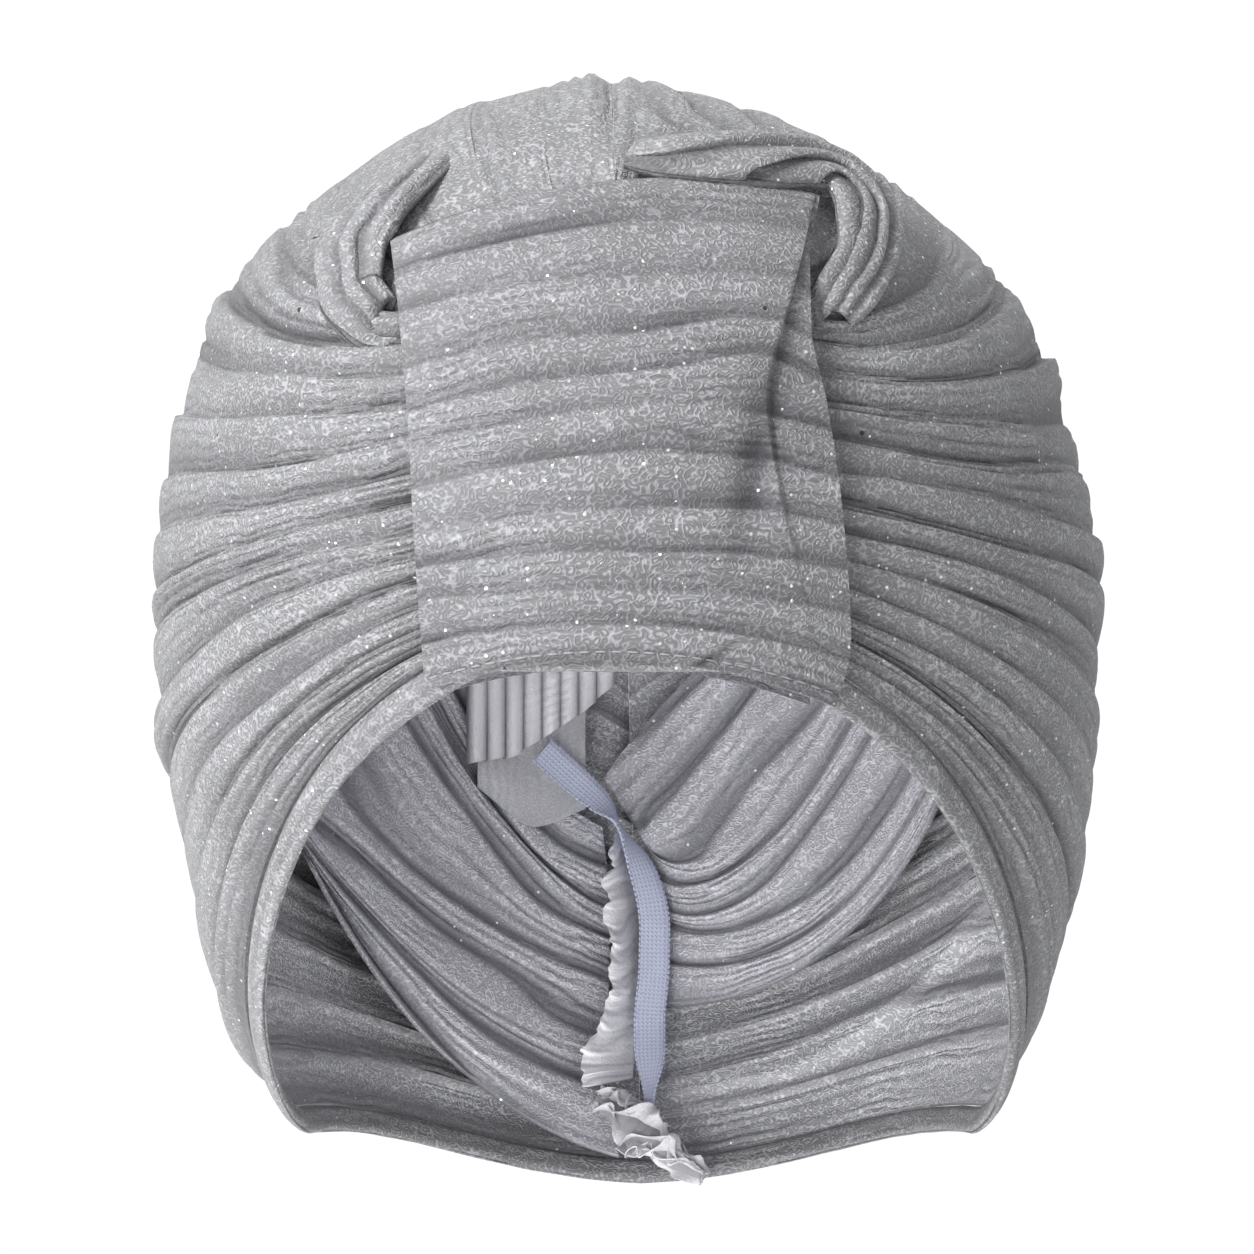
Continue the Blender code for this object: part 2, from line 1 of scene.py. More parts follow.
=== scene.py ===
# %% [markdown]
# # A pleated turban hat in glitter knit
# The hat is a bag of thin crinkled knit. Its pleats are pinched together at the front, and a wide
# band is wrapped round the pinch. This file dresses the plain solids of the hat: each solid is
# replaced by a finer mesh of the same piece, in the same place, with the cloth's own finish.
# Front is -Y, up is +Z, and left and right are the viewer's.

# %% Load the frame
import math
from collections import namedtuple

import bmesh
import bpy
import numpy as np
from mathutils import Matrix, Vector


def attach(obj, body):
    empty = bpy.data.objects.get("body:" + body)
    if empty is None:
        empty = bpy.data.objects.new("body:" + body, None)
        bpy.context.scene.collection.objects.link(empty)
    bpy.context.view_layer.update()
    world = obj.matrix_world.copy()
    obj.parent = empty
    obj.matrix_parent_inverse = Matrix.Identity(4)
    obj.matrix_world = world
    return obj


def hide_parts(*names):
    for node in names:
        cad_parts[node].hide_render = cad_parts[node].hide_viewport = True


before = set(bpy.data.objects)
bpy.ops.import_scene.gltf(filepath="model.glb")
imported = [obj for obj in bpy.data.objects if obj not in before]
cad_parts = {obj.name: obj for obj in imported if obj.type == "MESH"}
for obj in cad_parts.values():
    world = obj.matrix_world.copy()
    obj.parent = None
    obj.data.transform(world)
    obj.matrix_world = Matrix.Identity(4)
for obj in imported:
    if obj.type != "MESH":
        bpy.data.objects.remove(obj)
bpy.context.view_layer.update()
MM = 0.001

# %% [markdown]
# ## One dome for every piece
# Cloth that lies on cloth is easiest to place when all of it is measured from one surface. Here that
# is an ellipsoid with its own reach to the front, back, top and nape. A piece is a grid of points on
# the dome, lifted out of it or let into it by so many millimetres. The dome is then shaped as worn,
# wider at the shoulders and leaning a little. Sculpting each piece by hand would look as soft, but
# the layers would soon cut through each other.

# %% The dome
HALF_WIDTH = 100.7 * MM
FRONT_REACH = 111.0 * MM
BACK_REACH = 124.0 * MM
CROWN_RISE = 116.0 * MM
NAPE_DROP = 162.0 * MM
DOME_CENTRE = np.array([0.0, 0.0, 13.0 * MM])
SHOULDER = 0.058
SHOULDER_HEIGHT = 85.0 * MM
LEAN = 0.027
CLOTH_WALL = 1.5 * MM
THIN_WALL = 1.1 * MM
GAP = 0.4 * MM


def smooth_step(value):
    value = np.clip(value, 0, 1)
    return value * value * (3 - 2 * value)


def unit(vectors):
    return vectors / np.linalg.norm(vectors, axis=-1, keepdims=True)


def reaches(points):
    """The dome's reach along each axis, for the eighth that each point lies in."""
    x, y, z = np.moveaxis(points, -1, 0)
    front_or_back = np.where(y < 0, FRONT_REACH, BACK_REACH)
    top_or_nape = np.where(z > 0, CROWN_RISE, NAPE_DROP)
    return np.stack([np.full_like(x, HALF_WIDTH), front_or_back, top_or_nape], axis=-1)


def on_dome(points):
    """The points moved straight out from the centre, or in, to lie on the dome."""
    return points / np.linalg.norm(points / reaches(points), axis=-1, keepdims=True)


def outward(points):
    return unit(points / reaches(points) ** 2)


def widening(z):
    return 1 + SHOULDER * smooth_step(z / SHOULDER_HEIGHT)


def as_worn(points):
    """Points of the dome as they are in the frame: shaped as worn, and moved to the dome's centre."""
    x, y, z = np.moveaxis(points, -1, 0)
    return np.stack([x * widening(z) - LEAN * z, y, z], axis=-1) + DOME_CENTRE


def dome_point(x, z, reach, lift=0.0):
    """The point at x and z that is lifted so far off the dome, in front of or behind its middle."""
    x, z, lift = np.broadcast_arrays(x, z, lift)
    rise = np.where(z > 0, CROWN_RISE, NAPE_DROP) + lift
    room = np.clip(1 - (x / (HALF_WIDTH + lift)) ** 2 - (z / rise) ** 2, 0, None)
    return np.stack([x, (reach + math.copysign(1, reach) * lift) * np.sqrt(room), z], axis=-1)


def seen_point(x, z, reach, lift=0.0):
    """The lifted point that shows at x and z, in millimetres, on the hat as worn."""
    x, z = np.asarray(x, float) * MM, np.asarray(z, float) * MM
    return dome_point((x + LEAN * z) / widening(z), z, reach, lift)


print("The dome is", round(2 * HALF_WIDTH / MM), "mm wide before it is shaped as worn")

# %% [markdown]
# ## Reading a shape from a short table
# A fold line needs only a few stations. A smooth curve through them gives any number of points
# between, and stays flat where the values turn, so that it never overshoots. Soft noise from a small
# lattice of random numbers, with a fixed seed, then takes the evenness out of the folds.

# %% Curves and noise
LATTICE = 64


def curve_through(knots, values, where):
    """Values at the given places on a smooth curve through the knots, flat where they turn."""
    knots = np.asarray(knots, float)
    values = np.asarray(values, float)
    slopes = np.diff(values) / np.diff(knots)
    tangents = np.concatenate([slopes[:1], (slopes[1:] + slopes[:-1]) / 2, slopes[-1:]])
    tangents[1:-1][slopes[1:] * slopes[:-1] <= 0] = 0
    where = np.clip(where, knots[0], knots[-1])
    index = np.clip(np.searchsorted(knots, where) - 1, 0, len(knots) - 2)
    width = knots[index + 1] - knots[index]
    u = (where - knots[index]) / width
    start, end = values[index], values[index + 1]
    return (
        start * (2 * u**3 - 3 * u**2 + 1)
        + tangents[index] * width * (u**3 - 2 * u**2 + u)
        + end * (3 * u**2 - 2 * u**3)
        + tangents[index + 1] * width * (u**3 - u**2)
    )


def read(table, name, share):
    return curve_through([row.share for row in table], [getattr(row, name) for row in table], share)


def read_path(table, name, count):
    """A column of a table read evenly from its first row to its last."""
    places = np.linspace(0, 1, len(table))
    return curve_through(places, [getattr(row, name) for row in table], np.linspace(0, 1, count))


def bend(start, control, end, u):
    u = u[..., None]
    return start * (1 - u) ** 2 + 2 * control * u * (1 - u) + end * u**2


def soft_noise(u, v, seed):
    """Smooth noise from -1 to 1 over two coordinates, about one bump to a unit."""
    lattice = np.random.default_rng(seed).uniform(-1, 1, (LATTICE, LATTICE))
    u, v = np.broadcast_arrays(np.asarray(u, float), np.asarray(v, float))
    i, j = np.floor(u).astype(int), np.floor(v).astype(int)
    a, b = smooth_step(u - i), smooth_step(v - j)
    low = lattice[i % LATTICE, j % LATTICE] * (1 - a) + lattice[(i + 1) % LATTICE, j % LATTICE] * a
    j = j + 1
    high = lattice[i % LATTICE, j % LATTICE] * (1 - a) + lattice[(i + 1) % LATTICE, j % LATTICE] * a
    return low * (1 - b) + high * b


def puffs(turns, sharpness=0.6):
    """Rounded puffs between sharp valleys, one to a turn: 0 in the valley, 1 on the crest."""
    return np.abs(np.sin(np.pi * turns)) ** sharpness


print("A puff's middle is", float(puffs(0.5)), "and its edge is", round(float(puffs(1.0)), 3))

# %% [markdown]
# ## From points to a piece
# A grid of points becomes cloth when it has a face, a back and edges that join them. Each point
# keeps three things for its finish: its painted shade, as a mix from 0, the shaded crease colour, to
# 1, the crest colour, whether it is on the inside, and its place on the cloth in metres, as a UV map.
# A Solidify modifier could make the wall, but the inside of the crown has a swag of its own.

# %% Meshes
SHADE_MIX = "fold"
INSIDE = "inside"
CLOTH_MAP = "cloth"
SHARP_ANGLE = math.radians(60)


def put_on(mesh, fold, inside, cloth):
    """Stores each point's mix of painted shade, which face it is on, and its place on the cloth."""
    for name, values in ((SHADE_MIX, fold), (INSIDE, inside)):
        attribute = mesh.attributes.new(name, "FLOAT", "POINT")
        attribute.data.foreach_set("value", values.astype(np.float32).ravel())
    corners = np.zeros(len(mesh.loops), np.int32)
    mesh.loops.foreach_get("vertex_index", corners)
    layer = mesh.uv_layers.new(name=CLOTH_MAP)
    layer.data.foreach_set("uv", cloth.reshape(-1, 2)[corners].astype(np.float32).ravel())


def facing_out(mesh):
    """Turns a closed mesh's faces outwards, by the sign of its volume."""
    mesh.calc_loop_triangles()
    corners = np.zeros(len(mesh.loop_triangles) * 3, np.int32)
    mesh.loop_triangles.foreach_get("vertices", corners)
    points = np.zeros(len(mesh.vertices) * 3)
    mesh.vertices.foreach_get("co", points)
    a, b, c = np.moveaxis(points.reshape(-1, 3)[corners.reshape(-1, 3)], 1, 0)
    if np.einsum("ij,ij->", a, np.cross(b, c)) < 0:
        mesh.flip_normals()
    return mesh


def grid_cloth(length, width):
    """Each grid point's place on the cloth, in metres."""
    return lambda shape: np.stack(
        np.meshgrid(np.linspace(0, width, shape[1]), np.linspace(0, length, shape[0])), axis=-1
    )


def grid_quads(rows, columns):
    """The numbers of a grid's points, and the faces between them."""
    index = np.arange(rows * columns).reshape(rows, columns)
    quads = np.stack([index[:-1, :-1], index[:-1, 1:], index[1:, 1:], index[1:, :-1]], axis=-1)
    return index, quads.reshape(-1, 4)


def sheet_mesh(name, face, back, fold, cloth, on_inside=(0.0, 1.0)):
    """Cloth with a wall, from the points of its face and of its back."""
    index, quads = grid_quads(*face.shape[:2])
    count = index.size
    rim = np.concatenate([index[0], index[1:, -1], index[-1, -2::-1], index[-2:0:-1, 0]])
    after = np.roll(rim, -1)
    edge = np.stack([after, rim, rim + count, after + count], axis=-1)
    faces = np.concatenate([quads, quads[:, ::-1] + count, edge])
    points = np.concatenate([as_worn(face).reshape(-1, 3), as_worn(back).reshape(-1, 3)])
    mesh = bpy.data.meshes.new(name)
    mesh.from_pydata(points, [], faces.tolist())
    places = cloth(face.shape).reshape(-1, 2)
    both_shade_mixes = np.concatenate([fold.ravel(), fold.ravel()])
    inside = np.repeat(on_inside, count)
    put_on(mesh, both_shade_mixes, inside, np.concatenate([places, places]))
    return facing_out(mesh)


def tube_mesh(name, rings, fold, closed=False):
    """A bundle of cloth swept through rings of points, closed on itself or capped at its ends."""
    count, sides = rings.shape[:2]
    index = np.arange(count * sides).reshape(count, sides)
    here, there = (index, np.roll(index, -1, axis=0)) if closed else (index[:-1], index[1:])
    quads = np.stack([here, np.roll(here, -1, axis=1), np.roll(there, -1, axis=1), there], axis=-1)
    faces = quads.reshape(-1, 4).tolist()
    if not closed:
        faces += [index[0][::-1].tolist(), index[-1].tolist()]
    mesh = bpy.data.meshes.new(name)
    mesh.from_pydata(as_worn(rings).reshape(-1, 3), [], faces)
    steps = np.linalg.norm(np.diff(rings.mean(axis=1), axis=0), axis=-1)
    far = np.concatenate([[0], np.cumsum(steps)])
    round_it = np.linalg.norm(rings[count // 2, 0] - rings[count // 2, sides // 2]) * math.pi / 2
    places = np.stack(np.meshgrid(np.linspace(0, round_it, sides), far), axis=-1)
    put_on(mesh, fold, np.zeros_like(fold), places)
    return facing_out(mesh)


def rings_along(centres, across, outwards, half_widths, half_heights, sides):
    """Rings of points round a line of centres, wider one way than the other."""
    angle = np.arange(sides) * math.tau / sides
    width = np.cos(angle)[None, :, None] * half_widths[:, None, None] * across[:, None, :]
    height = np.sin(angle)[None, :, None] * half_heights[:, None, None] * outwards[:, None, :]
    return centres[:, None, :] + width + height


def pressed(rings, centres, shape):
    """Rings whose points are drawn towards their centres by a share."""
    return centres[:, None] + (rings - centres[:, None]) * shape[..., None]


def add_piece(name, mesh, material, slot, *nodes):
    """A finished piece: it rides on the hat and stands for these solids."""
    mesh.materials.clear()
    mesh.materials.append(material)
    mesh.shade_smooth()
    mesh.set_sharp_from_angle(angle=SHARP_ANGLE)
    piece = bpy.data.objects.new(name, mesh)
    bpy.context.scene.collection.objects.link(piece)
    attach(piece, "root")
    if nodes:
        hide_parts(*nodes)
    mesh.calc_loop_triangles()
    print(name, "has", len(mesh.loop_triangles), "triangles")
    return piece


print("Each point keeps its", SHADE_MIX, "and", INSIDE, "values, and its place on the", CLOTH_MAP, "map")

# %% [markdown]
# ## Sums on sockets
# A procedural finish is mostly arithmetic: a stripe is a sine, a speck is a comparison. Written as
# node after node it is hard to read, so one small class wraps a socket, and Python's own operators
# on it add the Math nodes. One method adds any other node.

# %% The socket class
class Socket:
    """An output of a node tree that can be added, multiplied and compared as a number."""

    def __init__(self, tree, output=None):
        self.tree = tree
        self.output = output

    def node(self, kind, settings=None, values=None, output=0):
        """Adds a node, sets its settings and then its sockets, and gives one of its outputs."""
        node = self.tree.nodes.new(kind)
        for name, value in (settings or {}).items():
            setattr(node, name, value)
        for name, value in (values or {}).items():
            if isinstance(value, Socket):
                self.tree.links.new(value.output, node.inputs[name])
            else:
                node.inputs[name].default_value = value
        return Socket(self.tree, node.outputs[output])

    def sum(self, operation, first, second=0.0):
        return self.node("ShaderNodeMath", {"operation": operation}, {0: first, 1: second})

    def __add__(self, other):
        return self.sum("ADD", self, other)

    def __sub__(self, other):
        return self.sum("SUBTRACT", self, other)

    def __rsub__(self, other):
        return self.sum("SUBTRACT", other, self)

    def __mul__(self, other):
        return self.sum("MULTIPLY", self, other)

    def __pow__(self, other):
        return self.sum("POWER", self, other)

    def __lt__(self, other):
        return self.sum("LESS_THAN", self, other)

    def __gt__(self, other):
        return self.sum("GREATER_THAN", self, other)

    def __abs__(self):
        return self.sum("ABSOLUTE", self)

    __radd__ = __add__
    __rmul__ = __mul__

    def zigzag(self):
        """A zigzag of this number: 1 at each whole number, and 0 halfway between."""
        return abs(self.sum("FRACT", self) - 0.5) * 2

    def into(self, shader, name):
        """Links this output to an input of the shader."""
        self.tree.links.new(self.output, shader.inputs[name])

    def mixed(self, low, high):
        """A colour between two others, by this number."""
        settings = {"data_type": "RGBA", "clamp_factor": True}
        return self.node("ShaderNodeMix", settings, {0: self, 6: low, 7: high}, output=2)


def colour(red, green, blue):
    return (red, green, blue, 1.0)


def new_finish(name):
    """A new material, its shader, and a socket to start its sums from."""
    material = bpy.data.materials.new(name)
    material.use_nodes = True
    return material, material.node_tree.nodes["Principled BSDF"], Socket(material.node_tree)


print("Sums on sockets are ready")

# %% [markdown]
# ## Crinkle knit with glitter
# The cloth is a thin knit whose surface crawls with tiny worm-like ridges about a millimetre apart,
# and glitter is scattered over it. Contour lines of a noise field have just that look: the noise is
# multiplied, and its fraction is folded into a ridge. Glitter specks are the middles of a few cells
# of a Voronoi pattern. Both read Object coordinates, so that the pattern keeps its scale where the
# pleats crowd together. Faint ribs run along the pleats, and those follow the cloth, so they read
# the UV map. Shade is painted into the creases: they are darker, by the shade mix that each point
# keeps, and the ridges show less there. Light is painted on the inside: its colours are raised.

# %% The knit's finish
NOISE = "ShaderNodeTexNoise"
VORONOI = "ShaderNodeTexVoronoi"
WORM_SCALE = 860.0
WORM_COUNT = 3.2
WORM_STRETCH = (0.75, 0.9, 1.0)
PATCH_SCALE = 38.0
GRAIN_SCALE = 2400.0
DRIFT_SCALE = 60.0
RIB_PATCH_SCALE = 47.0
RIB_SPACING = 2.5 * MM
RIB_DRIFT = 2.6
GLITTER_CELLS = 620.0
GLITTER_RADIUS = 0.21
SPECK_CELLS = 62.0
SPECK_RADIUS = 0.036
INSIDE_PAINTED_LIGHT = 1.0
GLITTER_COLOUR = (0.93, 0.94, 0.97)
SPECK_COLOUR = (0.03, 0.03, 0.035)
SHEEN = 0.1


def noise(start, place, scale, detail):
    return start.node(NOISE, None, {"Vector": place, "Scale": scale, "Detail": detail})


def first_channel(socket, picture):
    return socket.node("ShaderNodeSeparateColor", None, {"Color": picture})


def knit(name, crest, shaded_crease, glitter, relief, contrast=0.9, specks=0.0, see_through=1.0, axis=0):
    """Its colours on crests and, as painted shade, in creases, and the share of cells that glitter."""
    material, shader, start = new_finish(name)
    place = start.node("ShaderNodeTexCoord", output=3)
    fold = start.node("ShaderNodeAttribute", {"attribute_name": SHADE_MIX}, output=2)
    inside = start.node("ShaderNodeAttribute", {"attribute_name": INSIDE}, output=2)
    cloth = start.node("ShaderNodeUVMap", {"uv_map": CLOTH_MAP})
    across = start.node("ShaderNodeSeparateXYZ", None, {"Vector": cloth}, output=axis)

    drawn = start.node("ShaderNodeMapping", None, {"Vector": place, "Scale": WORM_STRETCH})
    ridge = 1 - (noise(start, drawn, WORM_SCALE, 0.0) * WORM_COUNT).zigzag()
    # The ridges show less in the creases, with the painted shade.
    line = (ridge ** 2.0) * (0.35 + 0.65 * fold)
    patches = noise(start, place, PATCH_SCALE, 3.0)
    grain = noise(start, place, GRAIN_SCALE, 1.0)
    drift = noise(start, place, DRIFT_SCALE, 2.0)
    rib = (across * (1 / RIB_SPACING) + RIB_DRIFT * drift).zigzag()
    fades = noise(start, place, RIB_PATCH_SCALE, 1.0)
    limits = {"Value": fades, "From Min": 0.42, "From Max": 0.6}
    rib = (rib ** 0.7) * start.node("ShaderNodeMapRange", None, limits)

    cell = {"Vector": place, "Scale": GLITTER_CELLS}
    chance = first_channel(start, start.node(VORONOI, None, cell, output=1))
    near = start.node(VORONOI, None, cell) < GLITTER_RADIUS
    sparkle = near * (chance > 1 - glitter)

    # Painted shade: creases take the darker colour, by the shade mix.
    base = (fold ** 0.9).mixed(colour(*shaded_crease), colour(*crest))
    shade = 1 - 0.45 * contrast + contrast * line + 0.2 * (patches - 0.5)
    # Painted light: the colours on the inside are raised.
    shade = (shade + 0.1 * (grain - 0.5) + 0.16 * rib) * (1 + INSIDE_PAINTED_LIGHT * inside)
    vector_scale = {"operation": "SCALE"}
    base = start.node("ShaderNodeVectorMath", vector_scale, {0: base, "Scale": shade})
    base = sparkle.mixed(base, colour(*GLITTER_COLOUR))
    if specks:
        cell = {"Vector": place, "Scale": SPECK_CELLS}
        chance = first_channel(start, start.node(VORONOI, None, cell, output=1))
        speck = (start.node(VORONOI, None, cell) < SPECK_RADIUS) * (chance > 1 - specks)
        base = speck.mixed(base, colour(*SPECK_COLOUR))

    bump = {"Height": 0.6 * line + 0.15 * grain + 1.3 * rib, "Distance": relief, "Strength": 1.0}
    base.into(shader, "Base Color")
    (0.6 - 0.3 * sparkle).into(shader, "Roughness")
    (0.5 * sparkle).into(shader, "Metallic")
    start.node("ShaderNodeBump", None, bump).into(shader, "Normal")
    shader.inputs["Sheen Weight"].default_value = SHEEN
    shader.inputs["Alpha"].default_value = see_through
    return material


print("The knit's ridges come from a noise of scale", WORM_SCALE)

# %% The finishes
# Each finish has a crest colour and a darker crease colour, which is painted shade.
Shades = namedtuple("Shades", "crest crease")
OUTER = Shades((0.37, 0.37, 0.385), (0.13, 0.13, 0.14))
# The band is the same knit as the crown in darker colours: painted shade.
BAND_SHADED = Shades((0.34, 0.34, 0.355), (0.09, 0.09, 0.10))
INNER = Shades((0.40, 0.395, 0.425), (0.16, 0.16, 0.178))
# The seam's cloth and the flap are paler: painted light for the light that the thin knit lets through.
SEAM_SHADES = Shades((0.60, 0.595, 0.615), (0.22, 0.215, 0.235))
FLAP_SHADES = Shades((0.47, 0.47, 0.49), (0.30, 0.30, 0.32))

outer_knit = knit("glitter_knit", *OUTER, 0.08, 0.34 * MM, specks=0.3)
shaded_band_knit = knit("shaded_band_knit", *BAND_SHADED, 0.07, 0.34 * MM, specks=0.5, axis=1)
inner_knit = knit("inner_knit", *INNER, 0.04, 0.3 * MM, contrast=0.7, axis=1)
pale_knit = knit("seam_cloth", *SEAM_SHADES, 0.02, 0.12 * MM, contrast=0.2, axis=1)
flap_knit = knit("flap_cloth", *FLAP_SHADES, 0.05, 0.12 * MM, contrast=0.3, see_through=0.85)
print("Finishes:", [m.name for m in (outer_knit, shaded_band_knit, inner_knit, pale_knit, flap_knit)])

# %% [markdown]
# ## The crown
# The crown is two pleated halves that meet in a seam over the top and down the back. Each pleat
# leaves the pinch under the band, fans out round the side and comes back to the seam. The fan is
# worked out: a table gives where a few of the pleats start, where they cross the side and where they
# end, and every line between is read from it. A pleat rises slowly to its crest and drops sharply
# into the next. Smaller folds ride on it and fade in and out, as they do in gathered cloth.

# %% The fan of pleats
FRONT_BOW = 0.3
BACK_BOW = 0.6
SIDE_ROUNDING = 0.045
ROUNDING_FADES = 0.1
Fan = namedtuple("Fan", "share start_x start_z side_angle swing seam_z")
FAN = (
    Fan(0.00, 29, -2.0, 130, 23, -124.5),
    Fan(0.11, 30, 3.0, 117, 16, -109.0),
    Fan(0.26, 31, 15.0, 99, 6, -87.0),
    Fan(0.43, 33, 31.0, 83, 0, -60.0),
    Fan(0.57, 35, 48.0, 65, 2, -38.0),
    Fan(0.71, 34, 63.0, 43, 9, -18.0),
    Fan(0.85, 19, 75.0, 20, 7, -3.0),
    Fan(1.00, 0, 79.0, 0, 0, 9.0),
)


def fan_points(share, along):
    """Points on the dome where pleats at these shares have come this far along, for the +X half."""
    start_x = read(FAN, "start_x", share) * MM
    start_z = read(FAN, "start_z", share) * MM
    angle = np.radians(read(FAN, "side_angle", share))
    swing = read(FAN, "swing", share) * MM
    seam_z = read(FAN, "seam_z", share) * MM
    start = dome_point(start_x * np.clip(1 + along, 0, 1), start_z, -FRONT_REACH)
    side_x = HALF_WIDTH * np.sin(angle)
    side_z = np.where(np.cos(angle) > 0, CROWN_RISE, NAPE_DROP) * np.cos(angle)
    side = np.stack([side_x, np.zeros_like(side_x), side_z], axis=-1)
    seam = dome_point(np.zeros_like(seam_z), seam_z, BACK_REACH)
    bow_z = start_z + FRONT_BOW * (side_z - start_z)
    front_bow = np.stack([side_x + swing, start[..., 1], bow_z], axis=-1)
    back_bow = np.stack([side_x, seam[..., 1], side_z + BACK_BOW * (seam_z - side_z)], axis=-1)
    front_half = bend(start, front_bow, side, np.clip(along * 2, 0, 1))
    back_half = bend(side, back_bow, seam, np.clip(along * 2 - 1, 0, 1))
    points = on_dome(np.where((along < 0.5)[..., None], front_half, back_half))
    points[..., 0] = np.maximum(points[..., 0], 0)
    return points


def fan_paths(share, along):
    """The same points, with the turn that each pleat makes at the side rounded off."""
    reach = SIDE_ROUNDING * np.exp(-(((along - 0.5) / ROUNDING_FADES) ** 2))
    nearby = [fan_points(share, along + step * reach) for step in np.linspace(-1, 1, 9)]
    return on_dome(sum(nearby))


print("The fan has", len(FAN), "lines of its own, from the hem to the crown's seam")

# %% The pinch at the band and at the seam
PINCH_DEPTH = 2.6 * MM
PINCH_REACH = 0.16
SEAM_PINCH = 0.6
SEAM_PINCH_REACH = 0.07


def pinch(along):
    """How far the cloth is drawn in at the band and at the back seam, from 0 to 1."""
    front = np.exp(-((np.clip(along, 0, 1) / PINCH_REACH) ** 2))
    return front + SEAM_PINCH * np.exp(-(((1 - along) / SEAM_PINCH_REACH) ** 2))


print("The pinch is", PINCH_DEPTH / MM, "mm deep at the band")

# %% The section of a pleat
VALLEY_PLACE = 0.17
VALLEY_HEIGHT = 0.10
CREST_PLACE = 0.74
EDGE_PLACE = 0.91
EDGE_HEIGHT = 0.96


def pleat_height(place, shift):
    """Height across one pleat: a shaded valley, a broad rise, a crisp edge, and a sharp drop."""
    crest, edge = CREST_PLACE + shift, EDGE_PLACE + shift * 0.5
    valley = VALLEY_HEIGHT * np.clip(place / VALLEY_PLACE, 0, 1)
    climb = np.sin(np.pi / 2 * np.clip((place - VALLEY_PLACE) / (crest - VALLEY_PLACE), 0, 1))
    past = smooth_step((place - crest) / (edge - crest))
    fall = np.sqrt(1 - np.clip((place - edge) / (1 - edge), 0, 1) ** 2)
    return (valley + (1 - VALLEY_HEIGHT) * climb) * (1 - (1 - EDGE_HEIGHT) * past) * fall


def folds(turns):
    """Heights across even folds of that section, one to a turn."""
    return pleat_height(turns - np.floor(turns), 0)


print("A pleat's edge is", float(pleat_height(np.float64(EDGE_PLACE), 0)), "of its height")

# %% The swag on the inside
# Where a broad loose fold of the back wall hangs lowest, in millimetres seen from the front
SWAG_X = (-2, 7, 25, 41, 68, 87)
SWAG_Z = (-116, -115, -110, -106, -87, -62)
SWAG_DEPTH = 3.4 * MM
SWAG_REACH = 13.0
SWAG_EDGE = 1.6
SWAG_STARTS = 30.0 * MM


def swag(points):
    """How far the wall of the right half bulges inwards, above the swag's lower edge."""
    x, y, z = np.moveaxis(as_worn(points) - DOME_CENTRE, -1, 0)
    above = z / MM - curve_through(SWAG_X, SWAG_Z, x / MM)
    bulge = smooth_step(above / SWAG_EDGE) * np.exp(-np.clip(above, 0, None) / SWAG_REACH)
    return SWAG_DEPTH * bulge * smooth_step(y / SWAG_STARTS) * (x > 0)


print("The swag hangs down to", min(SWAG_Z), "mm, seen from the front")

# %% The slanting pleats
# Short pleats that slant down into the roll, on the right of the top, in millimetres
SLANT_SPACING = 6.2
SLANT_FOOT = 97.0
SLANT_START = 2.0
SLANT_END = 66.0
SLANT_STARTS_OVER = 5.0
SLANT_ENDS_OVER = 14.0
SLANT_BACK = 60.0
SLANT_WAY = (0.62, 0.78)
SLANT_DEPTH = 0.6


def slanting(points, seed):
    """How much of the slanting pleats shows at each point, and their height there."""
    x, y, z = np.moveaxis(as_worn(points) - DOME_CENTRE, -1, 0)
    x, y, z = x / MM, y / MM, z / MM
    amount = smooth_step((z - SLANT_FOOT) / SLANT_STARTS_OVER)
    amount = amount * smooth_step((x - SLANT_START) / SLANT_STARTS_OVER)
    amount = amount * smooth_step((SLANT_END - x) / SLANT_ENDS_OVER)
    amount = amount * smooth_step(0.5 - y / SLANT_BACK)
    turns = (SLANT_WAY[0] * x + SLANT_WAY[1] * z) / SLANT_SPACING
    turns = turns + 0.3 * soft_noise(x / 11, z / 7, seed)
    return amount, folds(turns)


print("The slanting pleats are", SLANT_SPACING, "mm apart")

# %% One half of the crown
PLEATS = 18
PLEAT_DEPTH = 2.7 * MM
PLEAT_DEPTH_SHARE = 0.8
PLEAT_DEPTH_CHANGE = 0.3
PLEAT_SHIFT = 0.07
PLEAT_SWELL = 0.25
RIM_PINCH = 0.3
RIM_REACH = 0.04
RIDGE_RISE = 3.0 * MM
RIDGE_SPREAD = 11.0 * MM
RIDGE_FOOT = 86.0 * MM
PLEAT_PLACES = (0, 0.06, 0.13, 0.19, 0.27, 0.36, 0.46, 0.56, 0.66, 0.75, 0.83, 0.9, 0.95, 0.985)
SEEN_DEPTH = 0.74
CALM_FOOT = 66.0 * MM
CALM_REACH = 26.0 * MM
CALM_SHARE = 0.8
SECOND_FOLDS = 3
SECOND_DEPTH = 1.0 * MM
SLACK_DEPTH = 1.2 * MM
HIDDEN_STATIONS = 7
SEEN_STATIONS = 132
SEAM_GAP = 0.03 * MM
SEAM_LIFT = 1.3 * MM
SEAM_REACH = 4.0 * MM


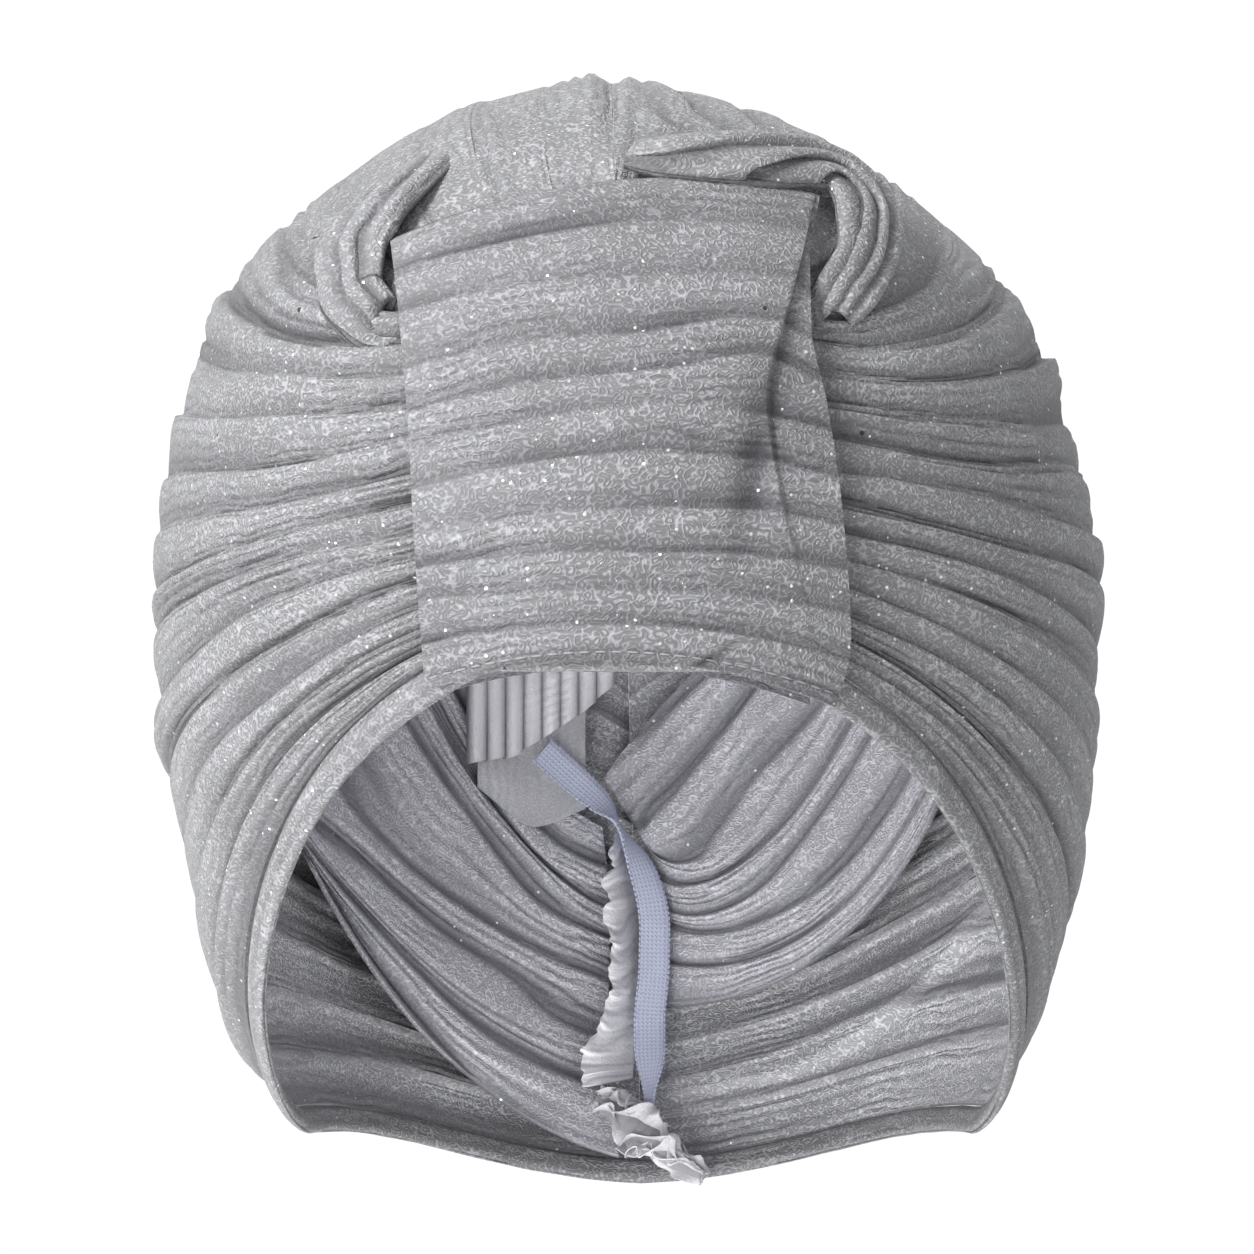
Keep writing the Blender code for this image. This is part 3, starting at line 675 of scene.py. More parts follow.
def crown_half(side, phase, seed):
    """The points of one half: its face, its back and the heights of its folds."""
    rows = [(pleat + place) / PLEATS for pleat in range(PLEATS) for place in PLEAT_PLACES] + [1.0]
    seen = np.linspace(0, 1, SEEN_STATIONS)
    stations = np.concatenate([np.linspace(-1, 0, HIDDEN_STATIONS)[:-1], seen ** 1.12])
    share, along = np.meshgrid(rows, stations)
    base = fan_paths(share, along)

    wander = 0.2 * soft_noise(along * 5, share * 26, seed) * smooth_step(along / 0.1)
    inside = smooth_step(share * PLEATS) * smooth_step((1 - share) * PLEATS)
    turns = np.clip(share * PLEATS + wander * inside, 0, PLEATS)
    pleat = np.minimum(np.floor(turns), PLEATS - 1)
    shift = PLEAT_SHIFT * np.sin(2.4 * pleat + phase)
    depth = PLEAT_DEPTH_SHARE + PLEAT_DEPTH_CHANGE * np.sin(1.7 * pleat + 2 * phase)
    height = pleat_height(turns - pleat, shift)
    depth = SEEN_DEPTH * depth * (1 + 0.6 * soft_noise(along * 4, pleat * 3.7, seed + 1))
    depth = depth * (1 - CALM_SHARE * smooth_step((base[..., 2] - CALM_FOOT) / CALM_REACH))

    drift = 0.5 * soft_noise(along * 5, share * 19, seed + 2)
    second = folds(turns * SECOND_FOLDS + 0.45 + drift)
    strength = np.clip(0.42 + 1.3 * soft_noise(along * 3.5, share * 31, seed + 3), 0, 1.1)
    slack = SLACK_DEPTH * soft_noise(along * 5.5, share * 9, seed + 4) * smooth_step(along / 0.12)
    if side > 0:
        amount, slant = slanting(base, seed + 5)
        height = height * (1 - amount) + slant * amount
        strength = strength * (1 - amount)
        depth = depth * (1 - amount) + SLANT_DEPTH * amount

    swell = 1 - PLEAT_SWELL * (1 - np.sin(np.pi * np.clip(along, 0, 1)))
    lift = PLEAT_DEPTH * height * depth * swell + SECOND_DEPTH * (second - 0.6) * strength * swell
    lift += slack - PINCH_DEPTH * pinch(along)
    lift *= RIM_PINCH + (1 - RIM_PINCH) * smooth_step(share / RIM_REACH)
    near_top = smooth_step((base[..., 2] - RIDGE_FOOT) / (CROWN_RISE - RIDGE_FOOT))
    lift += RIDGE_RISE * near_top * np.exp(-((base[..., 0] / RIDGE_SPREAD) ** 2))

    by_seam = 1 - smooth_step(base[..., 0] / SEAM_REACH) * (along > 0)
    lift += (SEAM_LIFT - lift) * np.where(along > 0.02, by_seam, 0)

    grids = []
    for inwards in (0.0, CLOTH_WALL + swag(base * (side, 1, 1))):
        grid = base + outward(base) * (lift - inwards)[..., None]
        grid[..., 0] = np.maximum(grid[..., 0], SEAM_GAP / 2) * side
        grids.append(grid)
    shown = np.clip(1.2 * depth, 0.1, 1)
    # Painted shade: the mix is lower in the creases, and just past the band, where the pleats come from
    # under it.
    fold = 1 - 0.85 * shown * (1 - height) - 0.5 * shown * (1 - second) * np.clip(strength, 0, 1)
    fold = fold - 0.3 * np.exp(-((along / 0.05) ** 2)) * (along > 0)
    return *grids, np.clip(fold, 0, 1)


print("A half of the crown has", PLEATS, "pleats and", SEEN_STATIONS, "stations along each")

# %% Both halves of the crown
CROWN_LENGTH = 0.33
CROWN_CUT = 0.24
crown_faces = {}
for name, side, phase, seed in (("left", -1, 0.4, 11), ("right", 1, 1.9, 23)):
    face, back, fold = crown_half(side, phase, seed)
    crown_faces[name] = face
    mesh = sheet_mesh("crown_" + name, face, back, fold, grid_cloth(CROWN_LENGTH, CROWN_CUT))
    crown = add_piece(f"pleated_crown_{name}", mesh, outer_knit, "crinkle_knit", "crown_" + name)

# %% [markdown]
# ## The front band
# The band is a strip of the same knit, wrapped tightly over the pinch. Its creases run across it and
# rise a little to the right. At its upper right corner the cloth is turned back, so a diagonal edge
# runs down the front, with a shadowed valley beside it. One grid of points makes it all: the fold
# line is a column of the grid, and the cloth drops one layer just past it.

# %% The band's shape
Band = namedtuple("Band", "share left_x left_z right_x right_z arch fold_x step")
BAND = (
    Band(0.00, -39.6, -12.4, 41.0, -15.7, 7.5, 37.5, 0.0),
    Band(0.12, -40.5, -1.0, 44.0, -3.0, 5.0, 36.0, 0.1),
    Band(0.35, -42.0, 19.0, 42.3, 24.0, 3.0, 30.0, 0.8),
    Band(0.55, -43.0, 36.0, 39.5, 45.0, 3.0, 27.3, 1.7),
    Band(0.72, -44.5, 52.0, 36.8, 60.0, 4.0, 31.0, 1.9),
    Band(0.85, -46.0, 65.0, 36.8, 74.0, 5.0, 35.0, 1.5),
    Band(1.00, -48.0, 78.6, 39.5, 88.5, 6.5, 38.5, 0.4),
)
BAND_LIFT = 4.8 * MM
BAND_EDGE_DROP = 0.8 * MM
BAND_LOWEST = 3.3 * MM
BAND_PLEATS = 11
BAND_PLEAT_DEPTH = 0.75 * MM
BAND_ROWS = 190
BAND_SMALL_FOLDS = 4
HEM_GROOVE = 0.45 * MM
HEM_GROOVE_SHARE = 0.022
DIP_MIDDLE = (25.4, 32.0)
DIP_REACH = (3.8, 14.0)
DIP_LEAN = 0.16
DIP_DEPTH = 1.5 * MM
NOTCH_START = (12.2, -7.5)
NOTCH_TURN = math.radians(31)
NOTCH_LENGTH = 12.0
NOTCH_DEPTH = 1.1 * MM


def dip(x, z):
    """The shadowed dip at the foot of the turned-back fold, from 0 to 1 in its middle."""
    x, z = x - DIP_MIDDLE[0], z - DIP_MIDDLE[1]
    return np.exp(-(((x - DIP_LEAN * z) / DIP_REACH[0]) ** 2) - (z / DIP_REACH[1]) ** 2)


def notch_fold(x, z):
    """The small fold at the lower right edge: sharp along a slanting line, and gone below it."""
    x, z = x - NOTCH_START[0], z - NOTCH_START[1]
    along = x * math.cos(NOTCH_TURN) + z * math.sin(NOTCH_TURN)
    below = x * math.sin(NOTCH_TURN) - z * math.cos(NOTCH_TURN)
    window = smooth_step(along / 2) * smooth_step((NOTCH_LENGTH - along) / 5)
    return window * smooth_step(below / 0.5) * np.exp(-np.clip(below, 0, None) / 2.6)


print("The band is", BAND[0].right_x - BAND[0].left_x, "mm wide at its lower edge")

# %% The band


def band_places():
    """Places across the band: up to the fold line from 0 to 1, and on to the right edge to 2."""
    edge = np.linspace(0, 0.04, 6)[:-1]
    return np.concatenate([edge, np.linspace(0.04, 1, 96)[:-1], np.linspace(1, 2, 64)])


def band_row(place, share):
    """x and z of the band's points in millimetres, as seen from the front."""
    left, right, line = (read(BAND, name, share) for name in ("left_x", "right_x", "fold_x"))
    x = np.where(place <= 1, left + (line - left) * place, line + (right - line) * (place - 1))
    across = (x - left) / (right - left)
    level = read(BAND, "left_z", share) * (1 - across) + read(BAND, "right_z", share) * across
    return x, level + read(BAND, "arch", share) * 4 * across * (1 - across), across


def band_grid():
    place, share = np.meshgrid(band_places(), np.linspace(0, 1, BAND_ROWS))
    x, z, across = band_row(place, share)
    past = np.clip(place - 1, 0, 1)
    sway = 0.30 * soft_noise(across * 3.5, share * 6, 31) + 0.35 * past * smooth_step(share * 3)
    uneven = 0.38 * soft_noise(share * 7, 0.3, 35)
    turns = share * BAND_PLEATS + (sway + uneven) * np.sin(np.pi * share)
    crest = folds(turns)
    crest = 1 - (1 - crest) * (0.62 + 0.38 * soft_noise(across * 3, np.floor(turns) * 2.3, 36))
    small = folds(turns * BAND_SMALL_FOLDS + 0.5 * soft_noise(across * 5, share * 20, 32))
    strength = np.clip(0.3 + 0.9 * soft_noise(across * 3, share * 24, 33), 0, 1.1)
    step = read(BAND, "step", share) * MM * smooth_step(past * 9)
    lift = BAND_LIFT - BAND_PLEAT_DEPTH * (1 - crest) - 0.32 * MM * (1 - small) * strength - step
    lift -= BAND_EDGE_DROP * np.clip(1 - place / 0.16, 0, 1) ** 2
    lift += 0.5 * MM * soft_noise(across * 3, share * 4, 34) * np.sin(np.pi * share)
    lift -= HEM_GROOVE * np.exp(-(((share - HEM_GROOVE_SHARE) / 0.008) ** 2))
    hollow = dip(x, z)
    lift -= DIP_DEPTH * hollow
    notch = notch_fold(x, z)
    lift = np.maximum(lift, BAND_LOWEST - 1.4 * MM) - NOTCH_DEPTH * notch
    face = seen_point(x, z, -FRONT_REACH, lift)
    shadow = 0.65 * hollow + 0.5 * notch + 0.3 * step / MM * np.exp(-past * 4)
    # Painted shade in the creases, on top of the painted shadow.
    fold = 0.2 + 0.8 * crest + 0.4 * (small - 1) * strength - shadow
    fold = np.clip(fold, 0, 1)
    return face, face - outward(face) * CLOTH_WALL, fold


BAND_CUT = (0.085, 0.105)
band_face, band_back, band_shade_mix = band_grid()
mesh = sheet_mesh("band", band_face, band_back, band_shade_mix, grid_cloth(BAND_CUT[1], BAND_CUT[0]))
band = add_piece("wrapped_band", mesh, shaded_band_knit, "crinkle_knit", "front_band")

# %% The lip under the band
LIP_SHOWS = 1.6
LIP_TOP = 24.0
LIP_LIFT = -4.8 * MM
LIP_CUT = (0.075, 0.032)


def lip_grid():
    across, rise = np.meshgrid(np.linspace(0.06, 0.94, 90), np.linspace(0, 1, 26))
    lowest = BAND[0]
    x = lowest.left_x + (lowest.right_x - lowest.left_x) * across
    level = lowest.left_z * (1 - across) + lowest.right_z * across
    foot = level + lowest.arch * 4 * across * (1 - across) - LIP_SHOWS
    lift = LIP_LIFT - 0.25 * MM * (1 - puffs(across * 26 + 0.4 * soft_noise(across * 9, rise * 3, 41)))
    face = seen_point(x, foot + (LIP_TOP - foot) * rise, -FRONT_REACH, lift)
    # The mix grows from the foot to the top, so the lip is darker towards its foot.
    return face, face - outward(face) * THIN_WALL, 0.45 + 0.4 * rise


mesh = sheet_mesh("lip", *lip_grid(), grid_cloth(LIP_CUT[1], LIP_CUT[0]))
lip = add_piece("folded_lip", mesh, inner_knit, "crinkle_knit", "band_lip")

# %% [markdown]
# ## The hem and the rolls
# The hem is a flat roll round the whole opening, and a bundle of pleats curls round each of the
# band's upper corners. All three are swept along a line on the dome: rings of points are set across
# it, and layers that overlap are pressed into the ring's outline, so that it reads as folded cloth
# and not as a tube. A curve with a bevel would give the tube, but not the layers.

# %% The hem
HEM_HALF_WIDTH = 3.3 * MM
HEM_HALF_THICKNESS = 1.5 * MM
HEM_SIDES = 28
HEM_LAYERS = 5
HEM_STATIONS = 190


def rim_hem():
    along = np.concatenate([np.linspace(-1, 0, 24)[:-1], np.linspace(0, 1, HEM_STATIONS)])
    half = fan_paths(np.zeros_like(along), along)
    lift = -RIM_PINCH * PINCH_DEPTH * pinch(along)
    other = (half * (-1, 1, 1))[-2:0:-1]
    ring = np.concatenate([half, other])
    lift = np.concatenate([lift, lift[-2:0:-1]]) - CLOTH_WALL / 2
    tangent = unit(np.roll(ring, -1, axis=0) - np.roll(ring, 1, axis=0))
    normal = outward(ring)
    down = unit(np.cross(tangent, normal))
    centres = ring + normal * lift[:, None] + down * (HEM_HALF_WIDTH + 0.75 * GAP)
    widths = np.full(len(ring), HEM_HALF_WIDTH)
    heights = np.full(len(ring), HEM_HALF_THICKNESS)
    rings = rings_along(centres, down, normal, widths, heights, HEM_SIDES)
    angle = np.arange(HEM_SIDES)[None, :] * HEM_LAYERS / HEM_SIDES
    stretch = np.arange(len(ring))[:, None]
    layer = puffs(angle + 0.25 * soft_noise(stretch / 17, angle * 2, 51), 0.8)
    shape = 0.90 + 0.10 * layer + 0.03 * soft_noise(stretch / 5, angle * 3, 52)
    # Painted shade between the layers.
    return pressed(rings, centres, shape), 0.45 + 0.5 * layer


mesh = tube_mesh("hem", *rim_hem(), closed=True)
hem = add_piece("rolled_hem", mesh, outer_knit, "crinkle_knit", "rim_hem")

# %% The rolls
Roll = namedtuple("Roll", "x z half_width lift")
ROLL_RIGHT = (
    Roll(1.5, 99.0, 1.6, 4.6),
    Roll(8.0, 98.5, 4.8, 5.6),
    Roll(17.0, 98.5, 5.8, 5.9),
    Roll(27.0, 98.0, 6.2, 6.0),
    Roll(37.0, 96.5, 6.2, 6.0),
    Roll(45.5, 91.5, 6.0, 5.9),
    Roll(49.5, 83.0, 5.6, 5.6),
    Roll(48.5, 74.5, 4.8, 5.2),
    Roll(43.5, 67.0, 3.4, 4.6),
    Roll(40.0, 62.0, 1.7, 4.1),
)
ROLL_LEFT = (
    Roll(-39.5, 100.5, 1.5, 3.2),
    Roll(-43.5, 93.5, 4.2, 4.0),
    Roll(-50.5, 86.0, 5.2, 4.2),
    Roll(-56.0, 77.5, 5.6, 4.2),
    Roll(-56.5, 69.0, 5.0, 4.0),
    Roll(-52.0, 62.5, 3.8, 3.6),
    Roll(-47.8, 59.5, 1.7, 3.2),
)
ROLL_SIDES = 96
ROLL_TWIST = 0.7
ROLL_END_WIDTH = 3.4
ROLL_END_SINK = 6.0
Bundle = namedtuple(
    "Bundle", "name table count seed first_layers last_layers spread flatness sinks drop"
)
BUNDLES = (
    Bundle("right", ROLL_RIGHT, 150, 61, 1.2, 3.1, 1.24, 0.5, 0.1, 2.4),
    Bundle("left", ROLL_LEFT, 100, 66, 2.0, 2.4, 1.5, 0.36, 1.5, 0.0),
)


def crown_roll(bundle):
    """Layers of cloth that overlap across a flat bundle, whose ends sink into the pleats."""
    x, z, half_widths, lift = (read_path(bundle.table, name, bundle.count) for name in Roll._fields)
    far = np.linspace(0, 1, bundle.count)
    end = 1 - np.sin(np.pi * far) ** 0.7
    half_widths = (half_widths * bundle.spread + ROLL_END_WIDTH * end) * MM
    sink = ROLL_END_SINK * end * np.where(far < 0.5, bundle.sinks, 1.2)
    z = z - bundle.drop * (1 - smooth_step((far - 0.3) / 0.25))
    centres = seen_point(x, z, -FRONT_REACH, (lift - sink) * MM)
    normal = outward(centres)
    across = unit(np.cross(unit(np.gradient(centres, axis=0)), normal))
    heights = half_widths * bundle.flatness
    rings = rings_along(centres, across, normal, half_widths, heights, ROLL_SIDES)
    angle = np.arange(ROLL_SIDES)[None, :] * math.tau / ROLL_SIDES
    far, flat = far[:, None], (1 - 0.9 * end)[:, None]
    layers = bundle.first_layers + (bundle.last_layers - bundle.first_layers) * smooth_step(far * 1.5)
    turns = layers * (1 + np.cos(angle)) / 2 + ROLL_TWIST * far
    turns = turns + 0.4 * soft_noise(far * 5, angle * 0, bundle.seed)
    layer = folds(turns)
    upper = smooth_step(np.sin(angle) * 2 + 0.5)
    rough = soft_noise(far * 9, np.cos(angle) * 2, bundle.seed + 1)
    shape = np.broadcast_to(1 - (0.42 * (1 - layer) * upper - 0.14 * rough) * flat, rings.shape[:2])
    # Painted shade: darker between the layers and on the side that faces the crown.
    return pressed(rings, centres, shape), 0.25 + 0.75 * layer * upper


for bundle in BUNDLES:
    mesh = tube_mesh("roll_" + bundle.name, *crown_roll(bundle))
    node = "crown_roll_" + bundle.name
    roll = add_piece("pleat_roll_" + bundle.name, mesh, outer_knit, "crinkle_knit", node)

# %% [markdown]
# ## The loose layers inside
# Behind the face opening the cloth is doubled, and loose layers hang off the back wall like curtains
# that are gathered to the seam. Each is a sheet between two edges: its fold lines leave the wall at
# their outer end, bow in, and meet the seam. A cloth simulation would drape them too, but the photo
# shows just where each fold lies, and the lines are read from a table of those places.

# %% The drapes
Fold = namedtuple("Fold", "share outer_x outer_z middle_x middle_z seam_x seam_z off_wall")
DRAPE_RIGHT = (
    Fold(0.00, 82, -12, 53, -70, 6.5, -90, 7.5),
    Fold(0.25, 80, -8, 46, -65, 7.5, -73, 7.0),
    Fold(0.45, 70, -4, 36, -56.6, 7.5, -66, 6.0),
    Fold(0.65, 62, 0, 29.8, -50, 6.0, -55, 5.0),
    Fold(0.82, 50, 4, 17, -43, 2.5, -49, 4.0),
    Fold(1.00, 34, 6, 14, -13, -6, -36, 2.5),
)
DRAPE_LEFT = (
    Fold(0.00, -80, -38, -46, -95, -2, -123, 4.0),
    Fold(0.18, -84, -34, -46, -81, -5, -105, 5.0),
    Fold(0.38, -82, -27, -44, -66, -4.5, -87.5, 5.0),
    Fold(0.62, -62, -2, -30, -50, -4, -72, 4.5),
    Fold(0.80, -54, 4, -29, -43, -4.5, -61, 3.2),
    Fold(1.00, -44, 6, -26, -30, -6, -48, 1.8),
)
DRAPE_LIFT = -3.8 * MM
DRAPE_FOLDS = 7
DRAPE_FOLD_DEPTH = 1.5 * MM
DRAPE_ROWS = 190
DRAPE_COLUMNS = 84
DRAPE_SMALL_FOLDS = 3
DRAPE_EXTRA_DEPTH = 0.7 * MM


def drape(table, phase, seed):
    along, share = np.meshgrid(np.linspace(0, 1, DRAPE_COLUMNS), np.linspace(0, 1, DRAPE_ROWS))
    ends = [
        np.stack([read(table, place + "_x", share), read(table, place + "_z", share)], axis=-1)
        for place in ("outer", "middle", "seam")
    ]
    outer, middle, seam = ends
    path = bend(outer, 2 * middle - (outer + seam) / 2, seam, along)
    turns = share * DRAPE_FOLDS + 0.3 * soft_noise(along * 3, share * 9, seed)
    crest = folds(turns)
    small = folds(turns * DRAPE_SMALL_FOLDS + 0.5 * soft_noise(along * 4, share * 25, seed + 1))
    strength = np.clip(0.55 + 0.9 * soft_noise(along * 3, share * 26, seed + 2), 0, 1.1)
    hang = read(table, "off_wall", share) * MM * np.sin(np.pi * along) ** 0.8
    depth = DRAPE_FOLD_DEPTH * (0.8 + 0.3 * np.sin(9 * share + phase))
    depth = depth + DRAPE_EXTRA_DEPTH * np.sin(np.pi * along) ** 0.5
    lift = DRAPE_LIFT - hang - depth * crest + 0.75 * MM * (1 - small) * strength
    face = seen_point(path[..., 0], path[..., 1], BACK_REACH, lift)
    # Painted shade in the creases.
    fold = np.clip(0.1 + 0.9 * crest - 0.4 * (1 - small) * strength, 0, 1)
    return face, face - outward(face) * THIN_WALL, fold


for name, table, phase, seed, cut in (
    ("left", DRAPE_LEFT, 0.5, 71, (0.115, 0.085)),
    ("right", DRAPE_RIGHT, 2.1, 76, (0.12, 0.085)),
):
    mesh = sheet_mesh("drape_" + name, *drape(table, phase, seed), grid_cloth(cut[1], cut[0]))
    curtain = add_piece(f"inner_drape_{name}", mesh, inner_knit, "inner_knit", "drape_" + name)
    "crown_" + name

# %% [markdown]
# ## The seam's frill, its crumpled end, and the ruffle
# The raw edge of the back seam stands inside as a frill, gathered by the elastic. At the nape it
# ends in a crumpled bunch, and at its upper end in a short ruffle with a thin flap behind it. They
# are given paler colours, as painted light for the light that one layer of the thin knit lets
# through. The crumpled end has a core with ruffled layers round it, joined into one mesh: a noise on
# a plain bundle would look like foil, and not like edges of cloth.

# %% The frill
Frill = namedtuple("Frill", "share sewn_x sewn_z free_x free_z stands_off")
FRILL = (
    Frill(0.00, -1.5, -47.0, -3.0, -51.0, 8.5),
    Frill(0.20, 1.8, -61.0, -5.0, -62.0, 9.0),
    Frill(0.40, 2.8, -74.0, -4.6, -74.0, 9.5),
    Frill(0.60, 2.6, -86.0, -3.8, -85.0, 9.5),
    Frill(0.80, 1.8, -98.0, -9.0, -97.0, 9.0),
    Frill(1.00, 1.4, -106.0, -10.5, -107.0, 7.5),
)
FRILL_LIFT = -3.8 * MM
FRILL_GATHERS = 9
FRILL_GATHER_DEPTH = 0.7 * MM
FRILL_CUT = (0.062, 0.014)


def seam_frill():
    across, share = np.meshgrid(np.linspace(0, 1, 20), np.linspace(0, 1, 230))
    x = read(FRILL, "sewn_x", share) * (1 - across) + read(FRILL, "free_x", share) * across
    z = read(FRILL, "sewn_z", share) * (1 - across) + read(FRILL, "free_z", share) * across
    turns = share * FRILL_GATHERS + 0.45 * soft_noise(share * 9, across * 1.5, 81)
    crest = -np.cos(2 * np.pi * turns)
    small = np.sin(2 * np.pi * (turns * 2.6 + 0.3 * soft_noise(share * 30, across * 2, 82)))
    wave = FRILL_GATHER_DEPTH * (0.8 * crest + 0.3 * small) * across
    off = read(FRILL, "stands_off", share) * MM * np.sin(np.pi / 2 * across) + wave
    ragged = (0.8 * soft_noise(share * 60, 0.5, 83) + 1.3 * soft_noise(share * 17, 0.2, 84)) * across**2
    face = seen_point(x + 0.25 * wave / MM + ragged, z, BACK_REACH, FRILL_LIFT - off)
    # Painted shade in the gathers' valleys.
    return face, face - outward(face) * THIN_WALL * 0.6, np.clip(0.7 + 0.2 * crest + 0.12 * small, 0, 1)


mesh = sheet_mesh("frill", *seam_frill(), grid_cloth(FRILL_CUT[0], FRILL_CUT[1]))
frill = add_piece("gathered_frill", mesh, pale_knit, "pale_knit", "seam_frill")

# %% The crumpled end
Knot = namedtuple("Knot", "x z half_width lift")
KNOT = (
    Knot(-6.5, -109.5, 3.4, -9.0),
    Knot(-1.0, -113.5, 6.2, -10.0),
    Knot(5.0, -118.0, 6.4, -9.8),
    Knot(11.0, -122.5, 5.0, -8.8),
    Knot(17.5, -126.0, 2.6, -7.4),
)
KNOT_LOBES = 3
KNOT_SIDES = 48
KNOT_RINGS = 60
KNOT_TWIST = 2.2
PETALS = 11
PETAL_WALL = 0.35 * MM
PETAL_TURN = 1.5


def knot_line():
    """The bundle's centres, its directions across and out, and its half widths."""
    x, z, half_widths, lift = (read_path(KNOT, name, KNOT_RINGS) for name in Knot._fields)
    centres = seen_point(x, z, BACK_REACH, lift * MM)
    normal = outward(centres)
    across = unit(np.cross(unit(np.gradient(centres, axis=0)), normal))
    return centres, across, normal, half_widths * MM


def petal(number):
    """One ruffled layer that stands out of the bundle, as a face and a back."""
    centres, across, normal, half_widths = knot_line()
    far, out = np.meshgrid(np.linspace(0, 1, KNOT_RINGS), np.linspace(0, 1, 16), indexing="ij")
    angle = math.tau * number / PETALS + KNOT_TWIST * far
    angle = angle + PETAL_TURN * out * soft_noise(far * 5, number * 1.7, 91)
    angle = angle + 0.35 * out**2 * np.sin(math.tau * (far * 4 + 0.3 * number))
    reach = half_widths[:, None] * out * (0.95 + 0.3 * soft_noise(far * 7, number * 2.3, 92))
    reach = reach * (1 - 0.3 * (1 + np.cos(KNOT_LOBES * angle)) / 2)
    along = reach * 0.5 * soft_noise(far * 6, out * 2 + number, 93)
    tangent = unit(np.gradient(centres, axis=0))[:, None]
    spoke = across[:, None] * np.cos(angle)[..., None] + normal[:, None] * np.sin(angle)[..., None]
    turned = normal[:, None] * np.cos(angle)[..., None] - across[:, None] * np.sin(angle)[..., None]
    middle = centres[:, None] + spoke * reach[..., None] + tangent * along[..., None]
    # Painted shade towards the bundle's core.
    return middle + turned * PETAL_WALL / 2, middle - turned * PETAL_WALL / 2, 0.25 + 0.75 * out


def joined(name, meshes):
    """Several meshes as one, each of which is then removed."""
    whole = bmesh.new()
    for mesh in meshes:
        whole.from_mesh(mesh)
        bpy.data.meshes.remove(mesh)
    mesh = bpy.data.meshes.new(name)
    whole.to_mesh(mesh)
    whole.free()
    return mesh


centres, across, normal, half_widths = knot_line()
core = rings_along(centres, across, normal, half_widths * 0.5, half_widths * 0.5, KNOT_SIDES)
# The core is given a low mix: painted shade in the bundle's middle.
parts = [tube_mesh("core", core, np.full(core.shape[:2], 0.3))]
for number in range(PETALS):
    # The petals' colours are raised on both faces: painted light.
    parts.append(sheet_mesh("petal", *petal(number), grid_cloth(0.03, 0.006), (0.3, 0.3)))
knot = add_piece("crumpled_end", joined("knot", parts), pale_knit, "pale_knit", "seam_knot")

# %% The ruffle and the flap
Ruffle = namedtuple("Ruffle", "share x top_z bottom_z")
RUFFLE = (
    Ruffle(0.0, -38.0, -7.0, -33.0),
    Ruffle(0.4, -24.0, -6.0, -29.0),
    Ruffle(1.0, -3.0, -6.0, -14.0),
)
FLAP = (
    Ruffle(0.0, -35.5, -20.0, -38.0),
    Ruffle(0.5, -22.0, -20.0, -47.5),
    Ruffle(1.0, -10.0, -20.0, -43.5),
)
RUFFLE_FLUTES = 8
RUFFLE_FLUTE_DEPTH = 2.7 * MM
RUFFLE_LIFT = -12.6 * MM
RUFFLE_CUT = (0.036, 0.020)
RUFFLE_STEP = 1.1
FLAP_LIFT = -10.7 * MM
FLAP_CUT = (0.028, 0.024)


def ruffle():
    share, drop = np.meshgrid(np.linspace(0, 1, 201), np.linspace(0, 1, 36))
    top, bottom = read(RUFFLE, "top_z", share), read(RUFFLE, "bottom_z", share)
    turns = share * RUFFLE_FLUTES
    crest = puffs(turns, 0.8)
    stepped = RUFFLE_STEP * soft_noise(np.floor(turns) * 1.37, 0.5, 95)
    lift = RUFFLE_LIFT - RUFFLE_FLUTE_DEPTH * crest * (0.4 + 0.6 * drop)
    lift += 0.3 * MM * soft_noise(share * 24, drop * 3, 96) + 0.08 * MM * puffs(drop * 18)
    z = top + (bottom + stepped - top) * drop
    face = seen_point(read(RUFFLE, "x", share), z, BACK_REACH, lift)
    # Painted shade between the flutes.
    return face, face - outward(face) * THIN_WALL, crest


def flap():
    share, drop = np.meshgrid(np.linspace(0, 1, 60), np.linspace(0, 1, 50))
    top, bottom = read(FLAP, "top_z", share), read(FLAP, "bottom_z", share)
    lift = FLAP_LIFT + 0.5 * MM * soft_noise(share * 3, drop * 3, 97)
    face = seen_point(read(FLAP, "x", share), top + (bottom - top) * drop, BACK_REACH, lift)
    return face, face - outward(face) * THIN_WALL * 0.5, 0.6 + 0.3 * soft_noise(share * 4, drop * 4, 98)


mesh = sheet_mesh("ruffle", *ruffle(), grid_cloth(RUFFLE_CUT[1], RUFFLE_CUT[0]))
fluted = add_piece("fluted_ruffle", mesh, pale_knit, "pale_knit", "crown_ruffle")
mesh = sheet_mesh("flap", *flap(), grid_cloth(FLAP_CUT[1], FLAP_CUT[0]))
thin_flap = add_piece("thin_flap", mesh, flap_knit, "pale_knit", "ruffle_flap")

# %% [markdown]
# ## The elastic tape
# A flat woven elastic is sewn along the seam. It is slack at the top, where it turns on edge once,
# and lies flat further down. It follows a table of places like the rolls, with a turn about its own
# length. Its weave follows the tape, so the finish reads the UV map and not Object coordinates.

